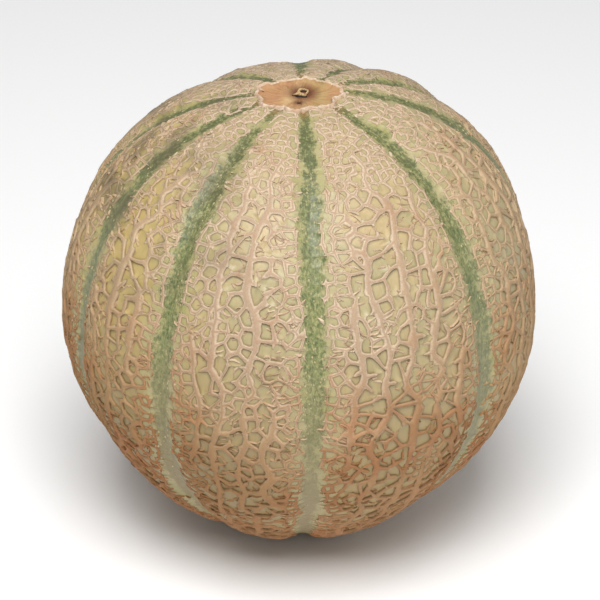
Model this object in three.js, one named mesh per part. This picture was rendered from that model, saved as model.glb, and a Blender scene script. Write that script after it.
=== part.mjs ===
// A ripe netted melon, one solid: a ribbed body with ten grooved green seams, a raised corky net
// between them, the oval scar where the stalk slipped off on top, and a small flat spot below.
// Millimetres, +Z up, with the origin in the middle of the flat spot that the melon rests on.
import * as THREE from 'three';
import { ConvexHull } from 'three/addons/math/ConvexHull.js';

// Body: a slightly square-shouldered top half over a more tapered lower half.
const EQUATOR_RADIUS = 72.2;
const TOP_HEIGHT = 75.2;
const BOTTOM_DEPTH = 74.5;
const TOP_SQUARENESS = 2.3;
const BOTTOM_SQUARENESS = 1.72;
const REST_DEPTH = 71.6; // the flat spot lies this far below the equator

// One shoulder, at the back on the left, is a little flatter than the rest.
const FLAT_LONGITUDE = 236; // in degrees, measured like the seams'
const FLAT_TILT = 43; // down from the top, in degrees
const FLAT_DEPTH = 1.35;
const FLAT_SPREAD = 0.13;

// Seams: longitudes in degrees, 0 towards -Y and growing towards +X, with the groove's share of the
// full depth and the swell in millimetres of the rib that follows. This melon's ribs are uneven.
const SEAMS = [
  { longitude: 4, groove: 1, swell: 0.5 },
  { longitude: 51, groove: 1, swell: 0.7 },
  { longitude: 97, groove: 0.05, swell: 1.2 },
  { longitude: 124, groove: 0.7, swell: 2.1 },
  { longitude: 150, groove: 0.6, swell: 1.4 },
  { longitude: 181, groove: 0.1, swell: 0.3 },
  { longitude: 222, groove: 1, swell: 0.1 },
  { longitude: 265, groove: 1, swell: 0.3 },
  { longitude: 294, groove: 1, swell: 0.7 },
  { longitude: 326, groove: 1, swell: 0.7 },
];
const SEAM_DEPTH = 1.3;
const SEAM_SPREAD = 4.2; // how far the groove's sides reach from its middle
const STRIPE_HALF_WIDTH = 4.2; // bare skin on each side of a seam's middle
const STRIPE_SHARE = 0.21; // of the rib's width, where the ribs narrow towards the ends

// Scar: a shallow oval dish inside a corky rim, with a dry nub near its middle.
const SCAR_HALF_WIDTH = 12.6;
const SCAR_HALF_DEPTH = 10.8;
const SCAR_LOBES = 9;
const SCAR_LOBE_REACH = 0.6;
const SCAR_RIM_HEIGHT = 1.1;
const SCAR_DISH_DEPTH = 2.2;
const NUB_SETBACK = 2.4; // towards the back of the dish
const NUB_RADIUS = 2.1;
const NUB_HEIGHT = 2.0;
const NUB_PIT_DEPTH = 1.3;

// Flat spot at the blossom end.
const SPOT_RADIUS = 13.5;

// Net: cells a little larger than life, with sharp-topped ridges between them.
const NET_SPACING = 7.5;
const NET_HEIGHT = 1.15;
const NET_HALF_WIDTH = 1.25;
const BANK_SPACING = 9.4;
const RING_GAP = 2.7; // from a round border to the row of cells on each side of it
const SHORTEST_RIDGE = 1.3;
const NET_SEED = 41;

const FULL_TURN = 2 * Math.PI;
const UP = new THREE.Vector3(0, 0, 1);

// Repeatable random numbers from 0 to 1.
function randomSource(seed) {
  let state = seed;
  return () => {
    state = (state + 0x6d2b79f5) | 0;
    let mixed = Math.imul(state ^ (state >>> 15), 1 | state);
    mixed = (mixed + Math.imul(mixed ^ (mixed >>> 7), 61 | mixed)) ^ mixed;
    return ((mixed ^ (mixed >>> 14)) >>> 0) / 4294967296;
  };
}

// Unit vector at a longitude, and at an arc in millimetres down from the top.
function directionAt(longitude, arc) {
  const tilt = arc / EQUATOR_RADIUS;
  return new THREE.Vector3(
    Math.sin(tilt) * Math.sin(longitude),
    -Math.sin(tilt) * Math.cos(longitude),
    Math.cos(tilt),
  );
}

function longitudeOf(direction) {
  return (Math.atan2(direction.x, -direction.y) + FULL_TURN) % FULL_TURN;
}

function arcFromTop(direction) {
  return Math.acos(THREE.MathUtils.clamp(direction.z, -1, 1)) * EQUATOR_RADIUS;
}

// The rib that a longitude lies in: its width, the place across it from 0 to 1, its swell, and the
// share of the full groove at its nearer seam.
function ribAt(longitude) {
  const starts = SEAMS.map((seam) => THREE.MathUtils.degToRad(seam.longitude));
  let index = starts.length - 1;
  starts.forEach((start, i) => {
    if (longitude >= start) index = i;
  });
  if (longitude < starts[0]) index = starts.length - 1;
  const next = starts[(index + 1) % starts.length];
  const width = (next - starts[index] + FULL_TURN) % FULL_TURN;
  const across = ((longitude - starts[index] + FULL_TURN) % FULL_TURN) / width;
  const nearer = across < 0.5 ? index : (index + 1) % SEAMS.length;
  return { width, across, swell: SEAMS[index].swell, groove: SEAMS[nearer].groove };
}

// Distance from the centre to the skin, before seams and ribs.
function plainRadius(direction) {
  const upper = direction.z >= 0;
  const power = upper ? TOP_SQUARENESS : BOTTOM_SQUARENESS;
  const depth = upper ? TOP_HEIGHT : BOTTOM_DEPTH;
  const side = Math.hypot(direction.x, direction.y) / EQUATOR_RADIUS;
  const along = Math.abs(direction.z) / depth;
  const flat = directionAt(
    THREE.MathUtils.degToRad(FLAT_LONGITUDE),
    THREE.MathUtils.degToRad(FLAT_TILT) * EQUATOR_RADIUS,
  );
  const sunk = FLAT_DEPTH * Math.exp((direction.dot(flat) / direction.length() - 1) / FLAT_SPREAD);
  return (side ** power + along ** power) ** (-1 / power) - sunk;
}

// Point of the skin in a direction from the centre, lifted along that direction.
function skinPoint(direction, lift = 0) {
  const { width, across, swell, groove } = ribAt(longitudeOf(direction));
  const round = Math.hypot(direction.x, direction.y);
  const seamDistance = Math.min(across, 1 - across) * width * round * EQUATOR_RADIUS;
  const crown = swell * Math.sin(Math.PI * across) ** 0.8 * Math.min(1, 1.6 * round);
  const bell = Math.exp(-((seamDistance / SEAM_SPREAD) ** 2));
  const sunk = groove * SEAM_DEPTH * bell * Math.min(1, 2.2 * round);
  return direction.clone().multiplyScalar(plainRadius(direction) + crown - sunk + lift);
}

// A slow sideways drift, so that seams and net wander as grown ones do.
function drifted(direction) {
  const { x, y, z } = direction;
  const drift = new THREE.Vector3(
    Math.sin(5.1 * z + 2.3 * y + 0.6) + 0.5 * Math.sin(11.3 * z - 4.1 * x),
    Math.sin(4.7 * z - 2.9 * x + 2.1) + 0.5 * Math.sin(10.1 * z + 5.3 * y + 1.2),
    Math.sin(4.3 * x + 3.7 * y + 4.0),
  );
  const share = 0.011 * Math.min(1, 1.5 * Math.hypot(x, y));
  return direction.clone().addScaledVector(drift, share).normalize();
}

// Distance from the top's middle to the scar's rim.
function scarReach(longitude) {
  const across = SCAR_HALF_DEPTH * Math.sin(longitude);
  const along = SCAR_HALF_WIDTH * Math.cos(longitude);
  const oval = (SCAR_HALF_WIDTH * SCAR_HALF_DEPTH) / Math.hypot(across, along);
  return oval + SCAR_LOBE_REACH * Math.cos(SCAR_LOBES * longitude + 0.6);
}

function stripeHalfWidth(arc, ribWidth) {
  const round = Math.sin(arc / EQUATOR_RADIUS) * EQUATOR_RADIUS;
  return Math.min(STRIPE_HALF_WIDTH, STRIPE_SHARE * ribWidth * round);
}

// Middles of the net's cells, each with the zone it belongs to. Cells of one zone other than the
// net's join into one bare stretch: the scar, the flat spot or the stripe along a seam.
function placeCells() {
  const random = randomSource(NET_SEED);
  const cells = [];
  const jitter = (size) => (random() - 0.5) * size;
  const add = (longitude, arc, zone) => cells.push({ middle: directionAt(longitude, arc), zone });
  const clear = (middle, gap) =>
    cells.every((cell) => cell.middle.distanceTo(middle) * EQUATOR_RADIUS > gap);
  const southArc = Math.PI * EQUATOR_RADIUS;

  add(0, 0, 'scar');
  add(0, southArc, 'spot');
  const seams = SEAMS.map((seam, i) => {
    const start = THREE.MathUtils.degToRad(seam.longitude);
    return { start, width: ribAt(start + 1e-6).width, zone: 'seam' + i };
  });
  for (const { start, width, zone } of seams) {
    for (const [longitude, outer] of [[start, zone], [start + width / 2, 'net']]) {
      const rim = scarReach(longitude);
      add(longitude, rim - RING_GAP, 'scar');
      add(longitude, rim + RING_GAP, outer);
      add(longitude, southArc - SPOT_RADIUS + RING_GAP + jitter(0.4), 'spot');
      add(longitude, southArc - SPOT_RADIUS - RING_GAP + jitter(0.4), outer);
    }
  }

  // Stripes along the seams, then a row of cells on both banks of each stripe.
  const last = southArc - SPOT_RADIUS - RING_GAP;
  const banks = [];
  for (const { start, width, zone } of seams) {
    const first = scarReach(start) + RING_GAP;
    const steps = Math.round((last - first) / BANK_SPACING);
    for (let step = 1; step < steps; step++) {
      const arc = first + ((last - first) * step) / steps;
      const round = Math.sin(arc / EQUATOR_RADIUS) * EQUATOR_RADIUS;
      const reach = (2 * stripeHalfWidth(arc, width)) / round;
      add(start, arc, zone);
      banks.push(directionAt(start + reach + jitter(1.2) / round, arc + jitter(4.4)));
      banks.push(directionAt(start - reach + jitter(1.2) / round, arc + jitter(4.4)));
    }
  }
  for (const middle of banks) {
    if (clear(middle, 0.55 * NET_SPACING)) cells.push({ middle, zone: 'net' });
  }

  // The rest of the ribs, at random but never close together.
  for (let tries = 0; tries < 12000; tries++) {
    const z = 2 * random() - 1;
    const longitude = FULL_TURN * random();
    const middle = directionAt(longitude, Math.acos(z) * EQUATOR_RADIUS);
    const gap = NET_SPACING * (1 - 0.3 * Math.abs(z) ** 3);
    const scarSide = arcFromTop(middle) > scarReach(longitude) + 2;
    const spotSide = southArc - arcFromTop(middle) > SPOT_RADIUS + 2;
    if (scarSide && spotSide && clear(middle, gap)) cells.push({ middle, zone: 'net' });
  }
  return cells;
}

// Corners where cells meet, and round each cell its corners with the neighbour across each side.
function divideSphere(cells) {
  const points = cells.map((cell) => cell.middle);
  const indexOf = new Map(points.map((point, i) => [point, i]));
  const hull = new ConvexHull().setFromPoints(points);
  const corners = hull.faces.map((face) => face.normal.clone());
  const after = cells.map(() => new Map());
  hull.faces.forEach((face, corner) => {
    let edge = face.edge;
    for (let k = 0; k < 3; k++) {
      const from = indexOf.get(edge.tail().point);
      const to = indexOf.get(edge.head().point);
      after[from].set(to, corner);
      edge = edge.next;
    }
  });

  // Corners closer together than the shortest ridge are one corner.
  const owner = corners.map((_, i) => i);
  const rootOf = (i) => (owner[i] === i ? i : (owner[i] = rootOf(owner[i])));
  after.forEach((ring, from) => {
    for (const [to, corner] of ring) {
      const other = after[to].get(from);
      const apart = corners[corner].distanceTo(corners[other]) * EQUATOR_RADIUS;
      if (apart < SHORTEST_RIDGE) owner[rootOf(corner)] = rootOf(other);
    }
  });
  const merged = corners.map(() => new THREE.Vector3());
  corners.forEach((corner, i) => merged[rootOf(i)].add(corner));
  merged.forEach((corner) => corner.normalize());

  // Going round a middle, each neighbour's side ends where the next neighbour's begins.
  const rings = after.map((ring, from) => {
    const sides = [];
    let to = ring.keys().next().value;
    for (let k = 0; k < ring.size; k++) {
      const begins = rootOf(after[to].get(from));
      const ends = rootOf(ring.get(to));
      if (begins !== ends) sides.push({ corner: begins, end: ends, neighbour: to });
      to = [...ring].find(([next, corner]) => next !== to && after[next].get(from) === ring.get(to))[0];
    }
    return sides;
  });
  return { corners: merged, rings };
}

// Triangles of the melon's surface, gathered from shared points.
class Surface {
  constructor() {
    this.points = [];
    this.triangles = [];
  }

  add(point) {
    return this.points.push(point) - 1;
  }

  face(...indices) {
    for (let k = 2; k < indices.length; k++) {
      const [a, b, c] = [indices[0], indices[k - 1], indices[k]];
      if (a !== b && b !== c && c !== a) this.triangles.push(a, b, c);
    }
  }

  geometry() {
    const flat = this.points.flatMap((point) => point.toArray());
    const geometry = new THREE.BufferGeometry();
    geometry.setAttribute('position', new THREE.Float32BufferAttribute(flat, 3));
    geometry.setIndex(this.triangles);
    return geometry.toNonIndexed();
  }
}

// Place of a ridge's foot at a corner of one cell: inwards from both sides that meet there.
function footDirection(cell, sides, corners, corner) {
  const flat = (direction) => {
    const reach = direction.clone().divideScalar(direction.dot(cell.middle)).sub(cell.middle);
    return reach.multiplyScalar(EQUATOR_RADIUS);
  };
  const to = flat(corners[corner]);
  const length = to.length();
  let kept = length;
  for (const side of sides) {
    const a = flat(corners[side.corner]);
    const b = flat(corners[side.end]);
    const along = b.clone().sub(a).normalize();
    const outward = a.clone().addScaledVector(along, -a.dot(along));
    const distance = outward.length();
    const facing = to.dot(outward) / (length * distance);
    if (facing > 0.05) kept = Math.min(kept, Math.max(0.3 * distance, distance - NET_HALF_WIDTH) / facing);
  }
  return cell.middle.clone().addScaledVector(to, kept / length / EQUATOR_RADIUS).normalize();
}

// Ridges, floors and bare stretches, all from the divided sphere.
function buildSkin() {
  const cells = placeCells();
  const { corners, rings } = divideSphere(cells);
  const surface = new Surface();
  const isBare = (a, b) => cells[a].zone !== 'net' && cells[a].zone === cells[b].zone;
  const ridgeLift = (zones) => (zones.has('scar') ? SCAR_RIM_HEIGHT : zones.has('spot') ? 0 : NET_HEIGHT);
  const skin = (direction, lift) => surface.add(skinPoint(drifted(direction), lift));

  // What meets at each corner: the cells, and which of them have no ridge between them.
  const meeting = new Map();
  rings.forEach((sides, cell) => {
    for (const { corner, neighbour } of sides) {
      if (!meeting.has(corner)) meeting.set(corner, { cells: [], bare: [], ridges: 0 });
      const here = meeting.get(corner);
      here.cells.push(cell);
      if (isBare(cell, neighbour)) here.bare.push([cell, neighbour]);
      else here.ridges++;
    }
  });

  const crest = new Map();
  const foot = new Map();
  for (const [corner, here] of meeting) {
    const at = corners[corner];
    const zones = new Set(here.cells.map((cell) => cells[cell].zone));
    if (here.ridges < 2) {
      const shared = skin(at, 0);
      crest.set(corner, shared);
      here.cells.forEach((cell) => foot.set(cell + ':' + corner, shared));
      continue;
    }
    crest.set(corner, skin(at, ridgeLift(zones)));
    const bareCells = new Set(here.bare.flat());
    if (bareCells.size) {
      const inward = new THREE.Vector3();
      bareCells.forEach((cell) => inward.add(cells[cell].middle.clone().sub(at).normalize()));
      const step = (1.1 * NET_HALF_WIDTH) / EQUATOR_RADIUS / inward.length();
      const shared = skin(at.clone().addScaledVector(inward, step).normalize(), 0);
      bareCells.forEach((cell) => foot.set(cell + ':' + corner, shared));
    }
    for (const cell of here.cells) {
      if (bareCells.has(cell)) continue;
      foot.set(cell + ':' + corner, skin(footDirection(cells[cell], rings[cell], corners, corner), 0));
    }
  }

  const rims = { scar: [], spot: [] };
  rings.forEach((sides, cell) => {
    const { zone, middle } = cells[cell];
    const floor = [];
    for (const { corner, end, neighbour } of sides) {
      const here = foot.get(cell + ':' + corner);
      const next = foot.get(cell + ':' + end);
      floor.push(here);
      if (isBare(cell, neighbour)) continue;
      surface.face(crest.get(corner), crest.get(end), next, here);
      if (rims[zone]) rims[zone].push([here, next]);
    }
    if (rims[zone]) return;
    if (zone === 'net') {
      surface.face(...floor);
      return;
    }
    const hub = skin(middle, 0);
    floor.forEach((point, k) => surface.face(hub, point, floor[(k + 1) % floor.length]));
  });
  closeScar(surface, loopOf(rims.scar));
  closeSpot(surface, loopOf(rims.spot));
  return surface;
}

// Chains directed edges into one loop of points.
function loopOf(edges) {
  const next = new Map(edges);
  const loop = [];
  let point = edges[0][0];
  do {
    loop.push(point);
    point = next.get(point);
  } while (point !== loop[0]);
  return loop;
}

// Rings of points inside a loop, each at a share of the loop's reach, ending in one middle point.
function fillLoop(surface, loop, levels, middle) {
  let outer = loop;
  for (const level of levels) {
    const inner = loop.map((index) => surface.add(level(surface.points[index])));
    outer.forEach((point, k) => {
      const n = (k + 1) % outer.length;
      surface.face(point, outer[n], inner[n], inner[k]);
    });
    outer = inner;
  }
  const hub = surface.add(middle);
  outer.forEach((point, k) => surface.face(hub, point, outer[(k + 1) % outer.length]));
}

// The dish slopes in from the rim, and the nub stands in it as a ring round its pit.
function closeScar(surface, loop) {
  const rim = Math.max(...loop.map((index) => surface.points[index].z));
  const floor = rim - SCAR_DISH_DEPTH;
  const dish = (share, height) => (edge) => {
    const middle = new THREE.Vector3(0, NUB_SETBACK, height);
    return middle.lerp(new THREE.Vector3(edge.x, edge.y, height), share);
  };
  const nub = (radius, height) => (edge) => {
    const angle = Math.atan2(edge.x, NUB_SETBACK - edge.y);
    return new THREE.Vector3(radius * Math.sin(angle), NUB_SETBACK - radius * Math.cos(angle), height);
  };
  const levels = [
    dish(0.8, rim - 0.5 * SCAR_DISH_DEPTH),
    dish(0.5, floor + 0.15),
    nub(1.4 * NUB_RADIUS, floor),
    nub(NUB_RADIUS, floor + NUB_HEIGHT),
    nub(0.5 * NUB_RADIUS, floor + NUB_HEIGHT),
  ];
  const pit = new THREE.Vector3(0, NUB_SETBACK, floor + NUB_HEIGHT - NUB_PIT_DEPTH);
  fillLoop(surface, loop, levels, pit);
}

// The spot is plane: every point round it comes down to the resting depth.
function closeSpot(surface, loop) {
  fillLoop(surface, loop, [], UP.clone().multiplyScalar(-REST_DEPTH));
}

function melonMesh() {
  const surface = buildSkin();
  for (const point of surface.points) {
    point.z = Math.max(point.z, -REST_DEPTH) + REST_DEPTH;
  }
  const rind = new THREE.MeshStandardMaterial({ color: 0xc8b088, roughness: 0.75, metalness: 0 });
  const mesh = new THREE.Mesh(surface.geometry(), rind);
  mesh.name = 'melon';
  return mesh;
}

const melon = new THREE.Group();
melon.add(melonMesh());

export default melon;
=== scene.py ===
"""A ripe netted melon on a pale floor: ribbed rind with green seams, raised corky net and stem scar."""

import logging
import math
from dataclasses import dataclass, field, fields
from enum import Enum

import bpy
import numpy as np
from mathutils import Matrix, Vector
from mathutils.geometry import delaunay_2d_cdt


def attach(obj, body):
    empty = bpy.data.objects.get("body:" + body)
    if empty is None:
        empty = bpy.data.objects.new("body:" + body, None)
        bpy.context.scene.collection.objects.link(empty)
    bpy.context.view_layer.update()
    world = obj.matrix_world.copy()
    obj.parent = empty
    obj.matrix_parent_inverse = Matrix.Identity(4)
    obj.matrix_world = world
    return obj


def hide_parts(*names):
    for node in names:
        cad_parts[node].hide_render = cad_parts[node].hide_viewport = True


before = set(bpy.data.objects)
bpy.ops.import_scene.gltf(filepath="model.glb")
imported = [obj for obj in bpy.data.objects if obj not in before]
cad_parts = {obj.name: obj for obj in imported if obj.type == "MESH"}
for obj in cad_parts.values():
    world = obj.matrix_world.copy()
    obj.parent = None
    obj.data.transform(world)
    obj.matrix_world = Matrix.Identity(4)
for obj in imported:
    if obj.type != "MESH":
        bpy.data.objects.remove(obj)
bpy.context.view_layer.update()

logging.basicConfig(level=logging.INFO, format="%(message)s")
log = logging.getLogger("melon")

MM = 0.001
FULL_TURN = 2 * math.pi
NOMINAL_RADIUS = 72.0  # mm: turns arcs on the skin into angles
BARE_FOOT = 0.012  # m: no loose cork below this height, where the melon rests
NO_COLUMN = -1000  # column number of cells that lie in no column
TIP_LENGTH = 2.6  # mm: over this length a loose end of cord thins out
THINNEST = 0.10  # mm: half width of a cord where nothing of it is left

Socket = bpy.types.NodeSocket
Cells = list[list[tuple[int, int, int]]]  # for each cell its sides: start corner, end corner, neighbour


class Zone(Enum):
    """What a cell belongs to. A cell in a seam has that seam's number instead."""

    NET = -1
    SCAR = -2
    SPOT = -3


class CordKind(Enum):
    """Kinds of corky cord, each with its half width and height in millimetres."""

    MAIN = (1.08, 0.85)
    RUNG = (0.58, 0.74)
    FINE = (0.50, 0.52)
    BANK = (0.48, 0.50)
    NONE = (0.08, 0.0)

    @property
    def half(self) -> float:
        """Half width in millimetres."""
        return self.value[0]

    @property
    def height(self) -> float:
        """Height in millimetres."""
        return self.value[1]


@dataclass(frozen=True)
class Rib:
    """One rib: the longitude in degrees of the seam it starts at, its swell in metres, and how
    much of the full groove that seam has."""

    start: float
    swell: float
    groove: float = 1.0


RIBS = (
    Rib(4, 0.0005),
    Rib(51, 0.0007),
    Rib(97, 0.0012, 0.05),
    Rib(124, 0.0021, 0.7),
    Rib(150, 0.0014, 0.6),
    Rib(181, 0.0003, 0.1),
    Rib(222, 0.0001),
    Rib(265, 0.0003),
    Rib(294, 0.0007),
    Rib(326, 0.0007),
)
RIB_STARTS = np.radians([rib.start for rib in RIBS])
RIB_WIDTHS = (np.roll(RIB_STARTS, -1) - RIB_STARTS) % FULL_TURN


def linear(code: str) -> tuple[float, float, float, float]:
    """Turns a six-digit screen colour into linear red, green, blue and alpha."""
    parts = [int(code[i:i + 2], 16) / 255 for i in (0, 2, 4)]
    return (*[p / 12.92 if p <= 0.04045 else ((p + 0.055) / 1.055) ** 2.4 for p in parts], 1.0)


class NodeBench:
    """Lays nodes in a shader or geometry tree and wires them, so that a recipe reads as a formula.

    A value is an output socket, a number, a tuple or a name, and a colour may be a screen code.
    """

    def __init__(self, tree: bpy.types.NodeTree) -> None:
        """Starts on a tree."""
        self.tree = tree

    def wire(self, node: bpy.types.Node, inputs: dict[str | int, object]) -> None:
        """Links a node's inputs, by name or number, to other sockets, or sets their plain values."""
        for name, value in inputs.items():
            if isinstance(value, Socket):
                self.tree.links.new(value, node.inputs[name])
            else:
                node.inputs[name].default_value = value

    def node(self, kind: str, inputs: dict[str | int, object] | None = None,
             **settings: object) -> bpy.types.Node:
        """Adds a node of a kind, with its settings and its inputs by name or number."""
        made = self.tree.nodes.new(kind)
        for name, value in settings.items():
            setattr(made, name, value)
        self.wire(made, inputs or {})
        return made

    def use(self, tree: bpy.types.NodeTree, **inputs: object) -> dict[str, Socket]:
        """Places a group with its inputs, underscores for spaces, and gives its outputs by name."""
        kind = "ShaderNodeGroup" if tree.bl_idname == "ShaderNodeTree" else "GeometryNodeGroup"
        named = {name.replace("_", " "): value for name, value in inputs.items()}
        return {socket.name: socket for socket in self.node(kind, named, node_tree=tree).outputs}

    def math(self, operation: str, *values: object) -> Socket:
        """One Math node on the values."""
        return self.node("ShaderNodeMath", dict(enumerate(values)), operation=operation).outputs[0]

    def times(self, first: object, *others: object) -> Socket:
        """The values multiplied, in order."""
        for other in others:
            first = self.math("MULTIPLY", first, other)
        return first

    def plus(self, first: object, *others: object) -> Socket:
        """The values added up, in order."""
        for other in others:
            first = self.math("ADD", first, other)
        return first

    def vector(self, operation: str, *values: object) -> Socket:
        """One Vector Math node on the values."""
        places = (0, "Scale") if operation == "SCALE" else (0, 1)
        made = self.node("ShaderNodeVectorMath", dict(zip(places, values)), operation=operation)
        return made.outputs["Value" if operation in ("DOT_PRODUCT", "LENGTH", "DISTANCE") else "Vector"]

    def split(self, vector: object) -> tuple[Socket, ...]:
        """The vector's three parts."""
        return tuple(self.node("ShaderNodeSeparateXYZ", {0: vector}).outputs)

    def join(self, *parts: object) -> Socket:
        """A vector of three parts."""
        return self.node("ShaderNodeCombineXYZ", dict(enumerate(parts))).outputs[0]

    def place(self) -> Socket:
        """Where each point of a geometry is."""
        return self.node("GeometryNodeInputPosition").outputs[0]

    def attribute(self, name: str) -> Socket:
        """The value that each point of the piece brings under a name."""
        if self.tree.bl_idname == "ShaderNodeTree":
            return self.node("ShaderNodeAttribute", attribute_name=name).outputs["Fac"]
        made = self.node("GeometryNodeInputNamedAttribute", {"Name": name}, data_type="FLOAT")
        return made.outputs["Attribute"]

    def mix(self, share: object, a: object, b: object) -> Socket:
        """A number between two others."""
        return self.node("ShaderNodeMix", {0: share, 2: a, 3: b}, data_type="FLOAT").outputs[0]

    def blend(self, share: object, a: object, b: object) -> Socket:
        """A colour between two others, which may be screen codes."""
        a, b = (linear(colour) if isinstance(colour, str) else colour for colour in (a, b))
        return self.node("ShaderNodeMix", {0: share, 6: a, 7: b}, data_type="RGBA").outputs[2]

    def span(self, value: object, low: float, high: float, to_low: float = 0.0, to_high: float = 1.0,
             smooth: bool = False) -> Socket:
        """Maps low to high onto to_low to to_high, held at its ends, and eased if it is smooth."""
        inputs = dict(enumerate((value, low, high, to_low, to_high)))
        interpolation = "SMOOTHSTEP" if smooth else "LINEAR"
        return self.node("ShaderNodeMapRange", inputs, interpolation_type=interpolation).outputs[0]

    def tint(self, base: object, colour: str, value: object, low: float, high: float,
             share: float = 1.0) -> Socket:
        """Turns a base into a share of another colour while a value goes from low to high."""
        return self.blend(self.span(value, low, high, 0.0, share), base, colour)

    def noise(self, vector: object, scale: object, detail: float = 3.0, roughness: float = 0.55,
              distortion: float = 0.0) -> Socket:
        """Soft cloudy noise about 0.5, with a scale in clouds per metre."""
        return self.node("ShaderNodeTexNoise", {
            "Vector": vector, "Scale": scale, "Detail": detail,
            "Roughness": roughness, "Distortion": distortion}).outputs[0]

    def draw(self, low: object, high: object, seed: int = 0) -> Socket:
        """A random number between two values for each point, from a seed."""
        made = self.node("FunctionNodeRandomValue", data_type="FLOAT")
        ends = [number for number, socket in enumerate(made.inputs) if socket.enabled]
        self.wire(made, {ends[0]: low, ends[1]: high, "Seed": seed})
        return next(socket for socket in made.outputs if socket.enabled)

    def real(self, geometry: Socket) -> Socket:
        """Instances made real."""
        return self.node("GeometryNodeRealizeInstances", {0: geometry}).outputs[0]

    def hand_over(self, result: bpy.types.Node, geometry: Socket, material: Socket) -> None:
        """Makes a geometry real, gives it its material and sends it to the tree's output."""
        inputs = {"Geometry": self.real(geometry), "Material": material}
        self.wire(result, {0: self.node("GeometryNodeSetMaterial", inputs).outputs[0]})

    def finish(self, colour: Socket, roughness: object, height: object, strength: float = 0.6,
               depth: float = 0.0004) -> None:
        """Wires a material's shader, with a fine relief whose depth is in metres."""
        bump = self.node("ShaderNodeBump", {"Strength": strength, "Distance": depth, "Height": height})
        self.wire(self.tree.nodes["Principled BSDF"], {
            "Base Color": colour, "Roughness": roughness, "Normal": bump.outputs[0]})


def new_group(name: str, kind: str, inputs: dict[str, object],
              outputs: dict[str, str]) -> tuple[NodeBench, bpy.types.NodeOutputs, bpy.types.Node]:
    """Starts a node group with named sockets.

    Args:
        name: The group's name.
        kind: Shader or Geometry.
        inputs: Default value by name, or the socket's type where there is none.
        outputs: Socket type by name.

    Returns:
        The group's bench, the sockets that bring its inputs, and its output node.
    """
    tree = bpy.data.node_groups.new(name, kind + "NodeTree")
    types = {float: "Float", int: "Int", tuple: "Vector"}
    for title, value in inputs.items():
        plain = not isinstance(value, str)
        socket_type = "NodeSocket" + (types[type(value)] if plain else value)
        socket = tree.interface.new_socket(title, in_out="INPUT", socket_type=socket_type)
        if plain:
            socket.default_value = value
    for title, socket_type in outputs.items():
        tree.interface.new_socket(title, in_out="OUTPUT", socket_type="NodeSocket" + socket_type)
    bench = NodeBench(tree)
    return bench, bench.node("NodeGroupInput").outputs, bench.node("NodeGroupOutput")


def new_material(name: str) -> tuple[bpy.types.Material, NodeBench, Socket]:
    """Starts a material, and gives it with its bench and its Object coordinates."""
    made = bpy.data.materials.new(name)
    made.use_nodes = True
    bench = NodeBench(made.node_tree)
    return made, bench, bench.node("ShaderNodeTexCoord").outputs["Object"]


def named_inputs(thing: object, *skipped: str) -> dict[str, object]:
    """A dataclass's numbers as group inputs, such as seam_depth as Seam Depth."""
    return {one.name.replace("_", " ").title(): getattr(thing, one.name)
            for one in fields(thing) if one.name not in skipped}


def waves(points: np.ndarray, wavelength: float, seed: int, count: int = 9) -> np.ndarray:
    """Smooth repeatable noise on the sphere, about -1 to 1.

    Args:
        points: Unit vectors.
        wavelength: Typical wavelength in millimetres.
        seed: Seed of the draw.
        count: Number of sines.

    Returns:
        One value for each point.
    """
    rng = np.random.default_rng(seed)
    axes = unit(rng.normal(size=(count, 3)))
    rates = FULL_TURN * NOMINAL_RADIUS / wavelength * rng.uniform(0.7, 1.4, count)
    phases = rng.uniform(0, FULL_TURN, count)
    return np.sin(points @ (axes * rates[:, None]).T + phases).sum(axis=1) * math.sqrt(2 / count) / 1.6


def unit(vectors: np.ndarray) -> np.ndarray:
    """The vectors at length one."""
    return vectors / np.linalg.norm(vectors, axis=-1, keepdims=True)


def ease(value: np.ndarray) -> np.ndarray:
    """Smooth step from 0 to 1."""
    held = np.clip(value, 0.0, 1.0)
    return held * held * (3 - 2 * held)


def bell(value: np.ndarray, middle: float, width: float) -> np.ndarray:
    """A bell curve of height one about a middle."""
    return np.exp(-((value - middle) / width) ** 2)


def direction_at(longitude: np.ndarray, arc: np.ndarray) -> np.ndarray:
    """Unit vectors at longitudes in radians and arcs in millimetres down from the top."""
    tilt = np.asarray(arc) / NOMINAL_RADIUS
    longitude = np.asarray(longitude)
    x, y = np.sin(tilt) * np.sin(longitude), -np.sin(tilt) * np.cos(longitude)
    return np.stack(np.broadcast_arrays(x, y, np.cos(tilt) + 0 * longitude), axis=-1)


def longitude_of(points: np.ndarray) -> np.ndarray:
    """Longitudes of points in radians, from the side that faces the viewer."""
    return np.arctan2(points[..., 0], -points[..., 1])


def arc_of(points: np.ndarray) -> np.ndarray:
    """Arcs of unit vectors in millimetres down from the top."""
    return np.arccos(np.clip(points[:, 2], -1, 1)) * NOMINAL_RADIUS


def on_skin(flat: np.ndarray) -> np.ndarray:
    """Unit vectors at places given in millimetres across the skin from the top's middle."""
    return direction_at(longitude_of(flat), np.linalg.norm(flat, axis=-1))


def place_object(name: str, data: bpy.types.ID) -> bpy.types.Object:
    """Makes an object and puts it in the scene."""
    made = bpy.data.objects.new(name, data)
    bpy.context.scene.collection.objects.link(made)
    return made


def mesh_piece(name: str, points: np.ndarray, faces: list,
               values: dict[str, np.ndarray]) -> bpy.types.Object:
    """Makes a smooth piece with values at its points.

    Args:
        name: The piece's name.
        points: Its points.
        faces: Its faces.
        values: Attribute values by name.

    Returns:
        The piece.
    """
    mesh = bpy.data.meshes.new(name)
    mesh.from_pydata(points.tolist(), [], faces)
    mesh.update(calc_edges=True)
    for title, numbers in values.items():
        mesh.attributes.new(title, "FLOAT", "POINT").data.foreach_set("value", numbers.astype(np.float32))
    mesh.polygons.foreach_set("use_smooth", np.ones(len(mesh.polygons), bool))
    return place_object(name, mesh)


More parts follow.
